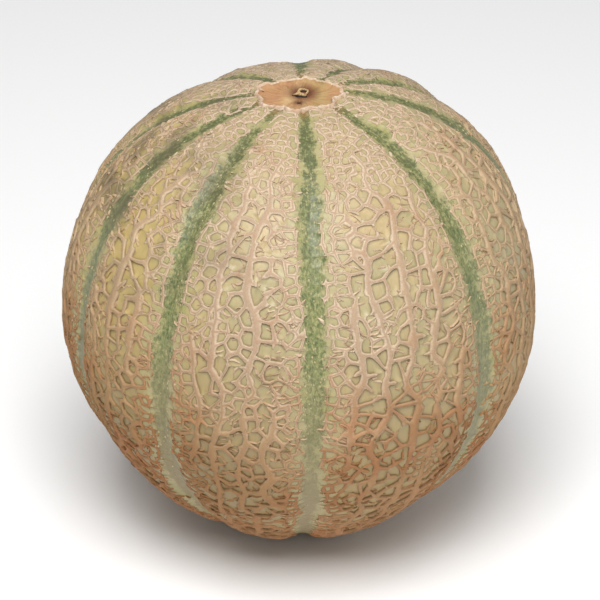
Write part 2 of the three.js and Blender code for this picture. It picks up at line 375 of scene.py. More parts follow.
def apply_tree(piece: bpy.types.Object, tree: bpy.types.NodeTree,
               material: bpy.types.Material | None) -> bpy.types.Object:
    """Runs a Geometry Nodes tree on a piece and keeps the result as its plain mesh.

    Args:
        piece: The piece.
        tree: The tree, with an input named Material.
        material: The material for that input.

    Returns:
        The same piece.
    """
    modifier = piece.modifiers.new(tree.name, "NODES")
    modifier.node_group = tree
    modifier[tree.interface.items_tree["Material"].identifier] = material
    graph = bpy.context.evaluated_depsgraph_get()
    mesh = bpy.data.meshes.new_from_object(
        piece.evaluated_get(graph), preserve_all_data_layers=True, depsgraph=graph)
    piece.modifiers.remove(modifier)
    old = piece.data
    piece.data = mesh
    mesh.name = piece.name
    bpy.data.meshes.remove(old)
    return piece


def closed_rings(rings: list[np.ndarray], bottom: np.ndarray, top: np.ndarray) -> tuple[np.ndarray, list]:
    """Joins rings of points into one closed mesh, from the bottom pole to the top one.

    Args:
        rings: Arrays of points, all of one length, in order from the outer edge inwards.
        bottom: The point that closes the underside.
        top: The point that closes the top.

    Returns:
        Points and faces.
    """
    size = len(rings[0])
    last, under = (len(rings) - 1) * size, len(rings) * size
    around = [(k, (k + 1) % size) for k in range(size)]
    faces: list[tuple[int, ...]] = []
    for a in range(0, last, size):
        faces += [(a + k, a + n, a + size + n, a + size + k) for k, n in around]
    for k, n in around:
        faces += [(under, n, k), (last + k, last + n, under + 1)]
    return np.concatenate([*rings, bottom[None, :], top[None, :]]), faces


def capped(rings: list[np.ndarray], bottom: float, top: float) -> np.ndarray:
    """Values for closed rings: those of the rings, then those of the two poles."""
    return np.concatenate([*rings, [bottom], [top]])


@dataclass
class MelonForm:
    """The rule of the melon's shape, as a Geometry Nodes tree that lays a unit sphere's mesh onto it.

    Every piece of the skin is first made on the unit sphere with a "lift" for each point. The tree
    puts the point at its distance from the centre, with ribs and grooves, and adds the lift.
    """

    equator_radius: float = 0.0722
    top_height: float = 0.0752
    bottom_depth: float = 0.0745
    top_squareness: float = 2.3
    bottom_squareness: float = 1.72
    rest_depth: float = 0.0716
    seam_depth: float = 0.0013
    seam_spread: float = 0.0042
    flat_depth: float = 0.00135
    flat_spread: float = 0.13
    flat_longitude: float = 236.0
    flat_tilt: float = 43.0

    def rib_group(self) -> bpy.types.NodeTree:
        """Makes the group that gives one rib's rise and the distance to the seam it starts at."""
        names = ("Longitude", "Roundness", "Equator Radius", "Start", "Width", "Swell", "Depth", "Spread")
        bench, take, result = new_group(
            "rib", "Geometry", dict.fromkeys(names, 0.0), {"Rise": "Float", "Seam Distance": "Float"})
        turn = bench.math("SUBTRACT", take["Longitude"], take["Start"])
        across = bench.math("DIVIDE", bench.math("FLOORED_MODULO", turn, FULL_TURN), take["Width"])
        inside = bench.math("LESS_THAN", across, 1.0)
        arch = bench.math("POWER", bench.math("SINE", bench.times(across, math.pi)), 0.8)
        fade = bench.math("MINIMUM", bench.times(take["Roundness"], 1.6), 1.0)
        crown = bench.times(arch, inside, fade, take["Swell"])
        near = bench.math("ABSOLUTE", bench.math("WRAP", turn, math.pi, -math.pi))
        gap = bench.times(near, bench.times(take["Roundness"], take["Equator Radius"]))
        part = bench.math("DIVIDE", gap, take["Spread"])
        hollow = bench.math("EXPONENT", bench.times(part, part, -1.0))
        shallow = bench.math("MINIMUM", bench.times(take["Roundness"], 2.2), 1.0)
        groove = bench.times(hollow, take["Depth"], shallow)
        bench.wire(result, {"Rise": bench.math("SUBTRACT", crown, groove), "Seam Distance": gap})
        return bench.tree

    def tree(self, keep_seam: bool = False) -> bpy.types.NodeTree:
        """Makes the whole shape tree.

        Args:
            keep_seam: Whether the piece brings a "seam" value of its own.

        Returns:
            The tree, with the melon's sizes as named inputs.
        """
        sizes = named_inputs(self, "flat_longitude", "flat_tilt")
        bench, take, result = new_group("melon_form", "Geometry", {
            "Geometry": "Geometry", **sizes, "Material": "Material"}, {"Geometry": "Geometry"})
        place = bench.place()
        x, y, z = bench.split(place)
        round_out = bench.math("SQRT", bench.plus(bench.times(x, x), bench.times(y, y)))
        longitude = bench.math("ARCTAN2", x, bench.times(y, -1.0))
        upper = bench.math("GREATER_THAN", z, 0.0)
        lower = bench.math("SUBTRACT", 1.0, upper)
        power = bench.plus(bench.times(upper, take["Top Squareness"]),
                           bench.times(lower, take["Bottom Squareness"]))
        depth = bench.plus(bench.times(upper, take["Top Height"]), bench.times(lower, take["Bottom Depth"]))
        side = bench.math("POWER", bench.math("DIVIDE", round_out, take["Equator Radius"]), power)
        along = bench.math("POWER", bench.math("DIVIDE", bench.math("ABSOLUTE", z), depth), power)
        radius = bench.math("POWER", bench.plus(side, along), bench.math("DIVIDE", -1.0, power))
        flat = direction_at(np.radians(self.flat_longitude), np.radians(self.flat_tilt) * NOMINAL_RADIUS)
        facing = bench.vector("DOT_PRODUCT", place, tuple(float(part) for part in flat))
        off = bench.math("DIVIDE", bench.math("SUBTRACT", facing, 1.0), take["Flat Spread"])
        sunk = bench.times(bench.math("EXPONENT", off), take["Flat Depth"])
        radius = bench.math("SUBTRACT", radius, sunk)
        rib_tree = self.rib_group()
        nearest = 1.0
        for rib, width in zip(RIBS, RIB_WIDTHS):
            made = bench.use(
                rib_tree, Longitude=longitude, Roundness=round_out, Equator_Radius=take["Equator Radius"],
                Start=math.radians(rib.start), Width=float(width), Swell=rib.swell,
                Depth=bench.times(take["Seam Depth"], rib.groove), Spread=take["Seam Spread"])
            radius = bench.plus(radius, made["Rise"])
            nearest = bench.math("MINIMUM", nearest, made["Seam Distance"])
        radius = bench.plus(radius, bench.attribute("lift"))
        x, y, z = bench.split(bench.vector("SCALE", place, radius))
        floor = bench.times(take["Rest Depth"], -1.0)
        height = bench.plus(bench.math("MAXIMUM", z, floor), take["Rest Depth"])
        skin = take["Geometry"]
        if not keep_seam:
            skin = bench.node("GeometryNodeStoreNamedAttribute", {
                "Geometry": skin, "Name": "seam", "Value": nearest},
                data_type="FLOAT", domain="POINT").outputs[0]
        moved = bench.node("GeometryNodeSetPosition", {
            "Geometry": skin, "Position": bench.join(x, y, height)})
        bench.hand_over(result, moved.outputs[0], take["Material"])
        return bench.tree


@dataclass(frozen=True)
class ScarShape:
    """Outline of the stem scar in millimetres: a wide oval with a flattened back and a lobed rim.

    Each dent has its angle, its width and how far it moves the rim outwards.
    """

    half_wide: float = 12.2
    half_deep: float = 10.4
    centre: tuple[float, float] = (-0.8, 0.1)
    lobe_reach: float = 0.55
    dents: tuple[tuple[float, float, float], ...] = (
        (1.42, 0.20, 0.5), (1.95, 0.28, -2.2), (1.08, 0.24, -1.6), (2.68, 0.25, 0.7))

    def plain_reach(self, angle: np.ndarray) -> np.ndarray:
        """Distance from the scar's middle to its rim without the lobes, at angles from +X."""
        angle = np.mod(angle, FULL_TURN)
        oval = self.half_wide * self.half_deep / np.sqrt(
            (self.half_deep * np.cos(angle)) ** 2 + (self.half_wide * np.sin(angle)) ** 2)
        for place, width, size in self.dents:
            oval = oval + size * bell(angle, place, width)
        return oval

    def reach(self, angle: np.ndarray) -> np.ndarray:
        """Distance from the scar's middle to its lobed rim, at angles from +X."""
        lobes = np.sin(7 * angle + 0.4) + 0.5 * np.sin(12 * angle + 2.0) + 0.3 * np.sin(23 * angle + 1.0)
        return self.plain_reach(angle) + self.lobe_reach * lobes

    def depth_inside(self, points: np.ndarray) -> np.ndarray:
        """How far inside the rim each direction lies. Outside is below zero."""
        arc, longitude = arc_of(points), longitude_of(points)
        across = arc * np.sin(longitude) - self.centre[0]
        along = -arc * np.cos(longitude) - self.centre[1]
        return self.reach(np.arctan2(along, across)) - np.hypot(across, along)


@dataclass
class NetPattern:
    """The cells of the corky net on the unit sphere. Its sizes are in millimetres on the skin."""

    seed: int = 17
    fine_gap: float = 2.22
    wide_gap: float = 3.75
    main_spacing: float = 9.2
    seam_half_width: float = 3.9
    seam_share: float = 0.19
    row_step: float = 2.9
    row_reach: float = 1.25
    bank_start: float = 1.6
    bank_reach: float = 4.6
    scar: ScarShape = field(default_factory=ScarShape)
    scar_margin: float = -0.7
    spot_radius: float = 13.0
    seam_room: float = 1.6
    scar_room: float = 0.8
    spot_room: float = 1.0
    column_room: float = 3.6
    closest: float = 1.7
    shortest: float = 0.8
    most_cells: int = 12000
    tries: int = 110000
    middles: np.ndarray = field(default_factory=lambda: np.zeros((0, 3)))
    zones: list[int] = field(default_factory=list)

    def rib_place(self, points: np.ndarray) -> tuple[np.ndarray, np.ndarray, np.ndarray, np.ndarray]:
        """Finds where points lie on their ribs.

        Args:
            points: Unit vectors.

        Returns:
            Rib number, millimetres to the nearest seam, millimetres from the rib's middle, rib width.
        """
        past = (longitude_of(points)[:, None] % FULL_TURN - RIB_STARTS[None, :]) % FULL_TURN
        rib = np.argmax(past < RIB_WIDTHS[None, :], axis=1)
        turn = past[np.arange(len(points)), rib]
        reach = np.hypot(points[:, 0], points[:, 1]) * NOMINAL_RADIUS
        seam = np.minimum(turn, RIB_WIDTHS[rib] - turn) * reach
        return rib, seam, (turn - RIB_WIDTHS[rib] / 2) * reach, RIB_WIDTHS[rib] * reach

    def scar_reach(self, longitude: np.ndarray) -> np.ndarray:
        """Distance from the top's middle to the edge of the scar's bare zone."""
        shift = self.scar.centre[0] * np.sin(longitude)
        return self.scar.plain_reach(longitude - np.pi / 2) + self.scar_margin + shift

    def bare_edge(self, width: np.ndarray) -> np.ndarray:
        """Half width of the bare stripe along a seam, where the rib has a width."""
        return np.minimum(self.seam_half_width, self.seam_share * width)

    def cell_gap(self, points: np.ndarray) -> np.ndarray:
        """Wanted distance between cell middles: close along the seams and near the top, wide between.

        Args:
            points: Unit vectors.

        Returns:
            Distances in millimetres.
        """
        _, seam, _, width = self.rib_place(points)
        edge = self.bare_edge(width)
        inner = ease((seam - edge - self.bank_start + 1.5 * waves(points, 16, 5)) / self.bank_reach)
        polar = ease((np.hypot(points[:, 0], points[:, 1]) - 0.22) / 0.55)
        polar = np.where(points[:, 2] < 0, np.maximum(polar, 0.6), polar)
        wide = self.wide_gap * (0.55 + 0.45 * polar) * (1 + 0.24 * waves(points, 22, 6))
        under = 1 + 0.5 * ease((-points[:, 2] - 0.72) / 0.12)
        close = 1 - 0.16 * ease((points[:, 2] - 0.74) / 0.18)
        return (self.fine_gap + (np.maximum(wide, self.fine_gap) - self.fine_gap) * inner) * under * close

    def seam_seeds(self, rng: np.random.Generator) -> tuple[list[np.ndarray], list[int]]:
        """Sets out the middles of the bare cells and of the first row of net beside each seam.

        Args:
            rng: The random draw.

        Returns:
            Unit vectors and zones.
        """
        points: list[np.ndarray] = []
        zones: list[int] = []

        def add(longitude: float, arc: float, zone: int) -> None:
            """Adds one middle."""
            points.append(direction_at(longitude, arc))
            zones.append(zone)

        south = math.pi * NOMINAL_RADIUS
        add(0.0, 0.0, Zone.SCAR.value)
        add(0.0, south, Zone.SPOT.value)
        for start, width in zip(RIB_STARTS, RIB_WIDTHS):
            for longitude in (start, start + width / 2):
                add(longitude, float(self.scar_reach(longitude)) * 0.7, Zone.SCAR.value)
                add(longitude, south - self.spot_radius * 0.7, Zone.SPOT.value)
        for index, (start, width) in enumerate(zip(RIB_STARTS, RIB_WIDTHS)):
            first, last = float(self.scar_reach(start)) + 2.2, south - self.spot_radius - 1.5
            arcs = np.arange(first, last, self.row_step)
            for side, rib_width in ((1, width), (-1, RIB_WIDTHS[index - 1])):
                for arc in arcs + rng.uniform(-0.8, 0.8):
                    reach = math.sin(arc / NOMINAL_RADIUS) * NOMINAL_RADIUS
                    half = min(self.seam_half_width, self.seam_share * rib_width * reach)
                    slow = float(waves(direction_at(np.array([start]), np.array([arc])), 22, 41 + side)[0])
                    half *= 1 + 0.22 * slow + 0.10 * rng.normal()
                    near = arc + rng.uniform(-0.5, 0.5)
                    inside = self.row_reach if half > 2.2 else half
                    if half > 2.2 or side > 0:
                        add(start + side * (half - inside) / reach, near, index)
                    outside = inside + rng.uniform(-0.3, 0.3)
                    level = near + rng.uniform(-0.6, 0.6)
                    add(start + side * (half + outside) / reach, level, Zone.NET.value)
        return points, zones

    def place_seeds(self) -> None:
        """Draws the cells' middles: seams first, then their banks, then the ribs at random."""
        rng = np.random.default_rng(self.seed)
        taken = np.zeros((self.most_cells, 3))
        gaps = np.zeros(self.most_cells)
        count = 0
        for point, zone in zip(*self.seam_seeds(rng)):
            # Middles that come too close to each other near the poles are dropped.
            away = np.linalg.norm(taken[:count] - point, axis=1) * NOMINAL_RADIUS
            if not (away < self.closest).any():
                taken[count] = point
                self.zones.append(zone)
                count += 1
        gaps[:count] = self.cell_gap(taken[:count])
        raw = unit(rng.normal(size=(self.tries, 3)))
        arc = arc_of(raw)
        _, seam, _, width = self.rib_place(raw)
        beyond_scar = arc > self.scar_reach(longitude_of(raw)) + self.scar_room
        above_spot = arc < math.pi * NOMINAL_RADIUS - self.spot_radius - self.spot_room
        raw = raw[(seam > self.bare_edge(width) + self.seam_room) & beyond_scar & above_spot]
        x, y, z = raw.T
        norths = unit(np.stack([-x * z, -y * z, 1 - z ** 2], axis=1))
        for point, gap, north in zip(raw, self.cell_gap(raw), norths):
            away = (taken[:count] - point) * NOMINAL_RADIUS
            stretch = 0.40 * min(1.0, max(0.0, (gap - 3) / 2))
            apart = (away ** 2).sum(axis=1) - stretch * (away @ north) ** 2
            if (apart > (0.5 * (gap + gaps[:count])) ** 2).all():
                taken[count] = point
                gaps[count] = gap
                self.zones.append(Zone.NET.value)
                count += 1
        self.middles = taken[:count]
        log.info("net: %d cells", count)

    def split_sphere(self) -> tuple[np.ndarray, Cells]:
        """Divides the sphere between the middles.

        Returns:
            Corner directions, and the cells' sides.
        """
        middles = self.middles
        south = 1
        others = [i for i in range(len(middles)) if i != south]
        flat = [Vector(2 * middles[i][:2] / (1 + middles[i][2])) for i in others]
        _, _, faces, origins, _, _ = delaunay_2d_cdt(flat, [], [], 0, 1e-7, True)
        names = [others[origin[0]] for origin in origins]
        triangles = [tuple(names[v] for v in face) for face in faces]
        border = {(t[k], t[(k + 1) % 3]) for t in triangles for k in range(3)}
        triangles += [(b, a, south) for a, b in list(border) if (b, a) not in border]
        corners = np.zeros((len(triangles), 3))
        after: dict[tuple[int, int], tuple[int, int]] = {}
        for number, (a, b, c) in enumerate(triangles):
            normal = np.cross(middles[b] - middles[a], middles[c] - middles[a])
            corners[number] = normal / np.linalg.norm(normal)
            for u, v, w in ((a, b, c), (b, c, a), (c, a, b)):
                after[u, v] = (number, w)
        owner = list(range(len(triangles)))

        def root(i: int) -> int:
            """The corner that a corner has been merged into."""
            while owner[i] != i:
                owner[i] = owner[owner[i]]
                i = owner[i]
            return i

        for (u, v), (number, _) in after.items():
            other = after[v, u][0]
            if np.linalg.norm(corners[number] - corners[other]) * NOMINAL_RADIUS < self.shortest:
                owner[root(number)] = root(other)
        roots = np.array([root(i) for i in range(len(triangles))])
        merged = np.zeros_like(corners)
        np.add.at(merged, roots, corners)
        lengths = np.linalg.norm(merged, axis=1, keepdims=True)
        merged = merged / np.where(lengths > 0, lengths, 1)
        first: dict[int, int] = {}
        for u, v in after:
            first.setdefault(u, v)
        cells: Cells = []
        for u in range(len(middles)):
            sides: list[tuple[int, int, int]] = []
            v, turning = first[u], True
            while turning:
                number, w = after[u, v]
                begin, end = int(roots[after[v, u][0]]), int(roots[number])
                if begin != end:
                    sides.append((begin, end, v))
                v, turning = w, w != first[u]
            cells.append(sides)
        return merged, cells

    def column(self, points: np.ndarray) -> np.ndarray:
        """Column of the rib that each point is in. Main cords run between columns."""
        rib, seam, middle, _ = self.rib_place(points)
        wander = 2.4 * waves(points, 60, 31) + 1.2 * waves(points, 25, 32)
        number = np.floor((middle + wander) / self.main_spacing + 0.5 * (rib % 2)).astype(int)
        clear = seam > self.seam_half_width + self.column_room
        usable = clear & (points[:, 2] < 0.90) & (points[:, 2] > -0.85)
        return np.where(usable, number + 100 * rib, NO_COLUMN - rib)


@dataclass
class Cord:
    """One stretch of cord between two corners, as its two cells share it."""

    start: int
    end: int
    kind: CordKind
    length: float
    size: float
    taper: float
    inner: list[int] = field(default_factory=list)
    shares: np.ndarray = field(default_factory=lambda: np.zeros(0))
    joined: tuple[bool, bool] = (True, True)
    stop: float = 1.0

    def strength(self, share: np.ndarray) -> np.ndarray:
        """How much of the cord is left at places along it, 1 for whole and 0 for bare skin.

        Args:
            share: Places from 0 at the start to 1 at the end.

        Returns:
            The strengths.
        """
        if self.kind is CordKind.NONE:
            return np.zeros_like(share)
        left = np.ones_like(share)
        tip = TIP_LENGTH / self.length
        if not self.joined[0]:
            left = np.minimum(left, ease((share - (1 - self.stop)) / tip))
        if not self.joined[1]:
            left = np.minimum(left, ease((self.stop - share) / tip))
        return left

    def half_width(self, share: np.ndarray) -> np.ndarray:
        """Half of the cord's width in millimetres at places along it."""
        breadth = self.kind.half * self.size * (1 + self.taper * (2 * share - 1))
        return np.maximum(THINNEST, breadth * self.strength(share) ** 0.7)


@dataclass
class SkinMesh:
    """The skin's points and faces while it grows: each point's lift in millimetres, its share of
    cord, and whether it lies at a cord's foot."""

    points: list[np.ndarray] = field(default_factory=list)
    lifts: list[np.ndarray] = field(default_factory=list)
    nets: list[np.ndarray] = field(default_factory=list)
    feet: list[np.ndarray] = field(default_factory=list)
    faces: list[tuple[int, ...]] = field(default_factory=list)
    count: int = 0

    def add(self, points: np.ndarray, lifts: object, nets: object, feet: bool = False) -> list[int]:
        """Adds points.

        Args:
            points: Unit vectors.
            lifts: One lift for all of them, or one each.
            nets: One share of cord for all of them, or one each.
            feet: Whether they lie at a cord's foot.

        Returns:
            Their numbers.
        """
        size = len(points)
        self.points.append(points)
        for store, values in ((self.lifts, lifts), (self.nets, nets), (self.feet, feet)):
            store.append(np.broadcast_to(values, size))
        self.count += size
        return list(range(self.count - size, self.count))

    def bridge(self, outer: list[int], inner: list[int]) -> None:
        """Adds the faces from a ring to the ring inside it, or to one middle point."""
        for k, here in enumerate(outer):
            n = (k + 1) % len(outer)
            self.faces.append((here, outer[n], *((inner[n], inner[k]) if len(inner) > 1 else inner)))


@dataclass
class MelonSkin:
    """The melon's whole skin in one closed mesh: seams, floors of the cells, and the cords' bodies.

    Attributes:
        lip_share: Where a wide cord's lip lies, from 0 at its crest to 1 at its foot.
        hollow: Height of the crest as a share of the lip's.
        pillow: Lift of a cell's middle in millimetres.
        removed: Share of the rungs that are left out, as fine_removed and bank_removed for theirs.
        halved: Share of the rungs that end short of a corner.
        rung_gaps: Above this sum of two cells' sizes the cord between them is a rung.
    """

    pattern: NetPattern = field(default_factory=NetPattern)
    form: MelonForm = field(default_factory=MelonForm)
    wide_step: float = 1.35
    fine_step: float = 1.45
    bare_step: float = 2.4
    wide_cell: float = 3.2
    lip_share: float = 0.76
    hollow: float = 0.82
    pillow: float = 0.10
    removed: float = 0.15
    halved: float = 0.40
    fine_removed: float = 0.22
    bank_removed: float = 0.42
    rung_gaps: float = 6.3
    shortest_cut: float = 1.8
    shortest_thorn: float = 3.5
    thorn_stops: tuple[float, float] = (0.55, 0.92)

    def classify(self, corners: np.ndarray, cells: Cells) -> dict[tuple[int, int], Cord]:
        """Gives every border between cells its kind of cord.

        Args:
            corners: Corner directions.
            cells: Each cell's sides.

        Returns:
            Cords by cell pair, lower number first.
        """
        rng = np.random.default_rng(self.pattern.seed + 5)
        zones = self.pattern.zones
        columns = self.pattern.column(self.pattern.middles)
        gaps = self.pattern.cell_gap(self.pattern.middles)
        bare = (Zone.SCAR.value, Zone.SPOT.value)
        cords: dict[tuple[int, int], Cord] = {}
        for cell, sides in enumerate(cells):
            for begin, end, other in sides:
                if cell > other:
                    continue
                pair = (zones[cell], zones[other])
                if pair == (Zone.NET.value, Zone.NET.value):
                    placed = min(columns[cell], columns[other]) > NO_COLUMN + 100
                    main = placed and columns[cell] != columns[other]
                    rest = CordKind.RUNG if gaps[cell] + gaps[other] > self.rung_gaps else CordKind.FINE
                    kind = CordKind.MAIN if main else rest
                else:
                    flat = pair[0] == pair[1] or pair[0] in bare or pair[1] in bare
                    kind = CordKind.NONE if flat else CordKind.BANK
                length = float(np.linalg.norm(corners[begin] - corners[end]) * NOMINAL_RADIUS)
                size = float(np.clip(rng.normal(1.0, 0.2), 0.6, 1.5))
                taper = float(rng.uniform(-1.0, 1.0)) * (0.14 if kind is CordKind.MAIN else 0.48)
                cords[cell, other] = Cord(begin, end, kind, length, size, taper)
        return cords

    def straighten(self, corners: np.ndarray, cords: dict[tuple[int, int], Cord]) -> None:
        """Pulls the main cords' corners into gentler lines.

        Args:
            corners: Corner directions, changed in place.
            cords: The cords.
        """
        links: dict[int, list[int]] = {}
        for cord in cords.values():
            if cord.kind is CordKind.MAIN:
                links.setdefault(cord.start, []).append(cord.end)
                links.setdefault(cord.end, []).append(cord.start)
        for _ in range(2):
            before = corners.copy()
            for corner, ends in links.items():
                if len(ends) == 2:
                    pulled = 0.5 * before[corner] + 0.25 * (before[ends[0]] + before[ends[1]])
                    corners[corner] = pulled / np.linalg.norm(pulled)

    def break_cords(self, cords: dict[tuple[int, int], Cord]) -> None:
        """Leaves out some cords and ends others short, so that they point into a cell like thorns.

        Args:
            cords: The cords, changed in place.
        """
        rng = np.random.default_rng(self.pattern.seed + 9)
        removed = {CordKind.RUNG: self.removed, CordKind.FINE: self.fine_removed,
                   CordKind.BANK: self.bank_removed}
        loose: set[int] = set()
        for cord in cords.values():
            draw = rng.uniform()
            swap = rng.uniform() < 0.5
            rung = cord.kind is CordKind.RUNG
            if cord.start in loose or cord.end in loose or (rung and cord.length <= self.shortest_cut):
                continue
            if draw < removed.get(cord.kind, 0.0):
                cord.kind = CordKind.NONE
                loose.update((cord.start, cord.end))
            elif rung and draw < self.removed + self.halved and cord.length > self.shortest_thorn:
                cord.joined = (False, True) if swap else (True, False)
                cord.stop = rng.uniform(*self.thorn_stops)
                loose.add(cord.start if swap else cord.end)

    def corner_heights(self, cords: dict[tuple[int, int], Cord]) -> dict[int, float]:
        """Finds the tallest cord at each corner, and lets a cord that meets no other one end there.

        Args:
            cords: The cords, changed in place.

        Returns:
            Heights in millimetres by corner.
        """
        meeting: dict[int, list[tuple[Cord, int]]] = {}
        for cord in cords.values():
            meeting.setdefault(cord.start, []).append((cord, 0))
            meeting.setdefault(cord.end, []).append((cord, 1))
        heights: dict[int, float] = {}
        for corner, ends in meeting.items():
            alive = [(cord, end) for cord, end in ends
                     if cord.kind is not CordKind.NONE and cord.joined[end]]
            if len(alive) == 1:
                cord, end = alive[0]
                cord.joined = (cord.joined[0] and end != 0, cord.joined[1] and end != 1)
            heights[corner] = max(cord.kind.height for cord, _ in alive) if len(alive) > 1 else 0.0
        return heights

    def lay_crests(self, skin: SkinMesh, corners: np.ndarray, cords: dict[tuple[int, int], Cord],
                   gaps: np.ndarray) -> dict[int, int]:
        """Adds the points along the middle of every cord.

        Args:
            skin: The mesh.
            corners: Corner directions.
            cords: The cords, which get the numbers of their inner points.
            gaps: Distance between middles at each cell.

        Returns:
            Point numbers by corner.
        """
        heights = self.corner_heights(cords)
        tall = np.array(list(heights.values()))
        whole = (tall > 0).astype(float)
        numbers = dict(zip(heights, skin.add(corners[list(heights)], tall * self.hollow, whole)))
        for (cell, other), cord in cords.items():
            low = cord.kind in (CordKind.NONE, CordKind.BANK)
            wide = max(gaps[cell], gaps[other]) > self.wide_cell and not low
            pieces = max(1, round(cord.length / (self.wide_step if wide else self.fine_step)))
            if cord.kind is CordKind.NONE:
                raised = heights[cord.start] + heights[cord.end] > 0
                pieces = max(2, round(cord.length / self.bare_step)) if raised else 1
            cord.shares = np.arange(1, pieces) / pieces
            begin, end = corners[cord.start], corners[cord.end]
            between = [begin * (1 - share) + end * share for share in cord.shares]
            places = np.array([place / np.linalg.norm(place) for place in between]).reshape(-1, 3)
            left = cord.strength(cord.shares)
            cord.inner = skin.add(places, cord.kind.height * self.hollow * left, left)
        return numbers

    def fill_cell(self, skin: SkinMesh, crests: np.ndarray, numbers: dict[int, int],
                  border: list[tuple[int, Cord]], wide: bool, pillow: float) -> None:
        """Adds one cell: the flanks of its cords, and its floor.

        Args:
            skin: The mesh.
            crests: Every point along the cords' middles.
            numbers: Point numbers by corner.
            border: The corner at which each side begins, and the side's cord.
            wide: Whether the cords have a lip as well as a foot.
            pillow: Lift of the cell's middle in millimetres.
        """
        loop: list[int] = []
        sides: list[int] = []
        power: list[float] = []
        half: list[float] = []
        tall: list[float] = []
        ends: list[tuple[float, float]] = []
        for number, (begin, cord) in enumerate(border):
            ahead = cord.start == begin
            along = np.concatenate([[0.0], cord.shares if ahead else 1 - cord.shares[::-1]])
            places = along if ahead else 1 - along
            left = cord.strength(places)
            loop += [numbers[begin], *(cord.inner if ahead else cord.inner[::-1])]
            sides += [number] * len(along)
            power += list(left)
            half += list(cord.half_width(places))
            tall += list(cord.kind.height * left)
            ends.append(tuple(cord.half_width(np.array([0.0, 1.0]) if ahead else np.array([1.0, 0.0]))))
        ring = crests[loop]
        heart = ring.sum(axis=0)
        heart /= np.linalg.norm(heart)
        east = np.cross([0.0, 0.0, 1.0], heart)
        east = east / np.linalg.norm(east) if np.linalg.norm(east) > 1e-3 else np.array([1.0, 0.0, 0.0])
        north = np.cross(heart, east)
        flat = (ring / (ring @ heart)[:, None] - heart) * NOMINAL_RADIUS
        plane = np.stack([flat @ east, flat @ north], axis=1)
        reach = np.linalg.norm(plane, axis=1)
        aim = plane / reach[:, None]
        side = np.array(sides)
        knots = plane[np.searchsorted(side, np.arange(len(border)))]
        run = np.roll(knots, -1, axis=0) - knots
        outward = unit(np.stack([run[:, 1], -run[:, 0]], axis=1))
        distance = (outward * knots).sum(axis=1)
        at_ends = np.array(ends)
        before, beyond = (side - 1) % len(border), (side + 1) % len(border)
        walls = ((side, np.array(half)), (before, at_ends[before, 1]), (beyond, at_ends[beyond, 0]))
        outer, previous = reach, loop
        levels = ((self.lip_share, 0.7), (1.0, 0.3)) if wide else ((1.0, 0.3),)
        for share, net in levels:
            foot = share == 1.0
            outer = np.minimum(self.inset(share, walls, aim, outward, distance, reach), outer - 0.02)
            local = aim * outer[:, None] / NOMINAL_RADIUS
            spread = unit(heart + local[:, :1] * east + local[:, 1:] * north)
            current = skin.add(spread, 0.0 if foot else np.array(tall), net * np.array(power), foot)
            skin.bridge(previous, current)
            previous = current
        skin.bridge(previous, skin.add(heart[None, :], pillow, 0.0))

    @staticmethod
    def inset(share: float, walls: tuple[tuple[np.ndarray, np.ndarray], ...], aim: np.ndarray,
              outward: np.ndarray, distance: np.ndarray, reach: np.ndarray) -> np.ndarray:
        """Distance from a cell's heart to a ring at a share of the way from crest to foot.

        Args:
            share: 0 at the crest and 1 at the foot.
            walls: The own, last and next side of each point, with that cord's half width.
            aim: Direction of each point from the heart.
            outward: Direction out through each side.
            distance: Distance from the heart to each side.
            reach: Distance from the heart to each crest point.

        Returns:
            Distances in millimetres.
        """
        sharpness = 36.0
        total = np.zeros(len(reach))
        for sides, widths in walls:
            facing = (outward[sides] * aim).sum(axis=1)
            limit = np.maximum(distance[sides] - share * widths, 0.25 * distance[sides])
            usable = (facing > 0.06) & (limit > 0.05)
            total += np.where(usable, limit / np.where(usable, facing, 1), 1e6) ** -sharpness
        return np.clip(total ** (-1 / sharpness), 0.12 * reach, reach * (1 - 0.04 * share) - 0.04 * share)

    def grow(self) -> SkinMesh:
        """Works out every point and face of the skin on the unit sphere."""
        pattern = self.pattern
        pattern.place_seeds()
        corners, cells = pattern.split_sphere()
        cords = self.classify(corners, cells)
        self.straighten(corners, cords)
        self.break_cords(cords)
        for cord in cords.values():
            cord.length = float(np.linalg.norm(corners[cord.start] - corners[cord.end]) * NOMINAL_RADIUS)
        gaps = pattern.cell_gap(pattern.middles)
        skin = SkinMesh()
        numbers = self.lay_crests(skin, corners, cords, gaps)
        crests = np.concatenate(skin.points)
        for cell, sides in enumerate(cells):
            in_net = pattern.zones[cell] == Zone.NET.value
            border = [(begin, cords[min(cell, other), max(cell, other)]) for begin, _, other in sides]
            wide = in_net and gaps[cell] > self.wide_cell
            self.fill_cell(skin, crests, numbers, border, wide, self.pillow if in_net else 0.0)
        return skin

    def wander(self, points: np.ndarray) -> np.ndarray:
        """Moves points a little along the skin, so that cords and seams aren't ruled lines.

        Args:
            points: Unit vectors.

        Returns:
            Moved unit vectors.
        """
        shift = np.zeros_like(points)
        for size, wavelength, seed in ((0.75, 46, 51), (0.34, 15, 61), (0.17, 6.5, 71)):
            for axis in range(3):
                shift[:, axis] += size / NOMINAL_RADIUS * waves(points, wavelength, seed + axis)
        calm = np.minimum(1.0, 1.6 * np.hypot(points[:, 0], points[:, 1]))[:, None]
        return unit(points + shift * calm)

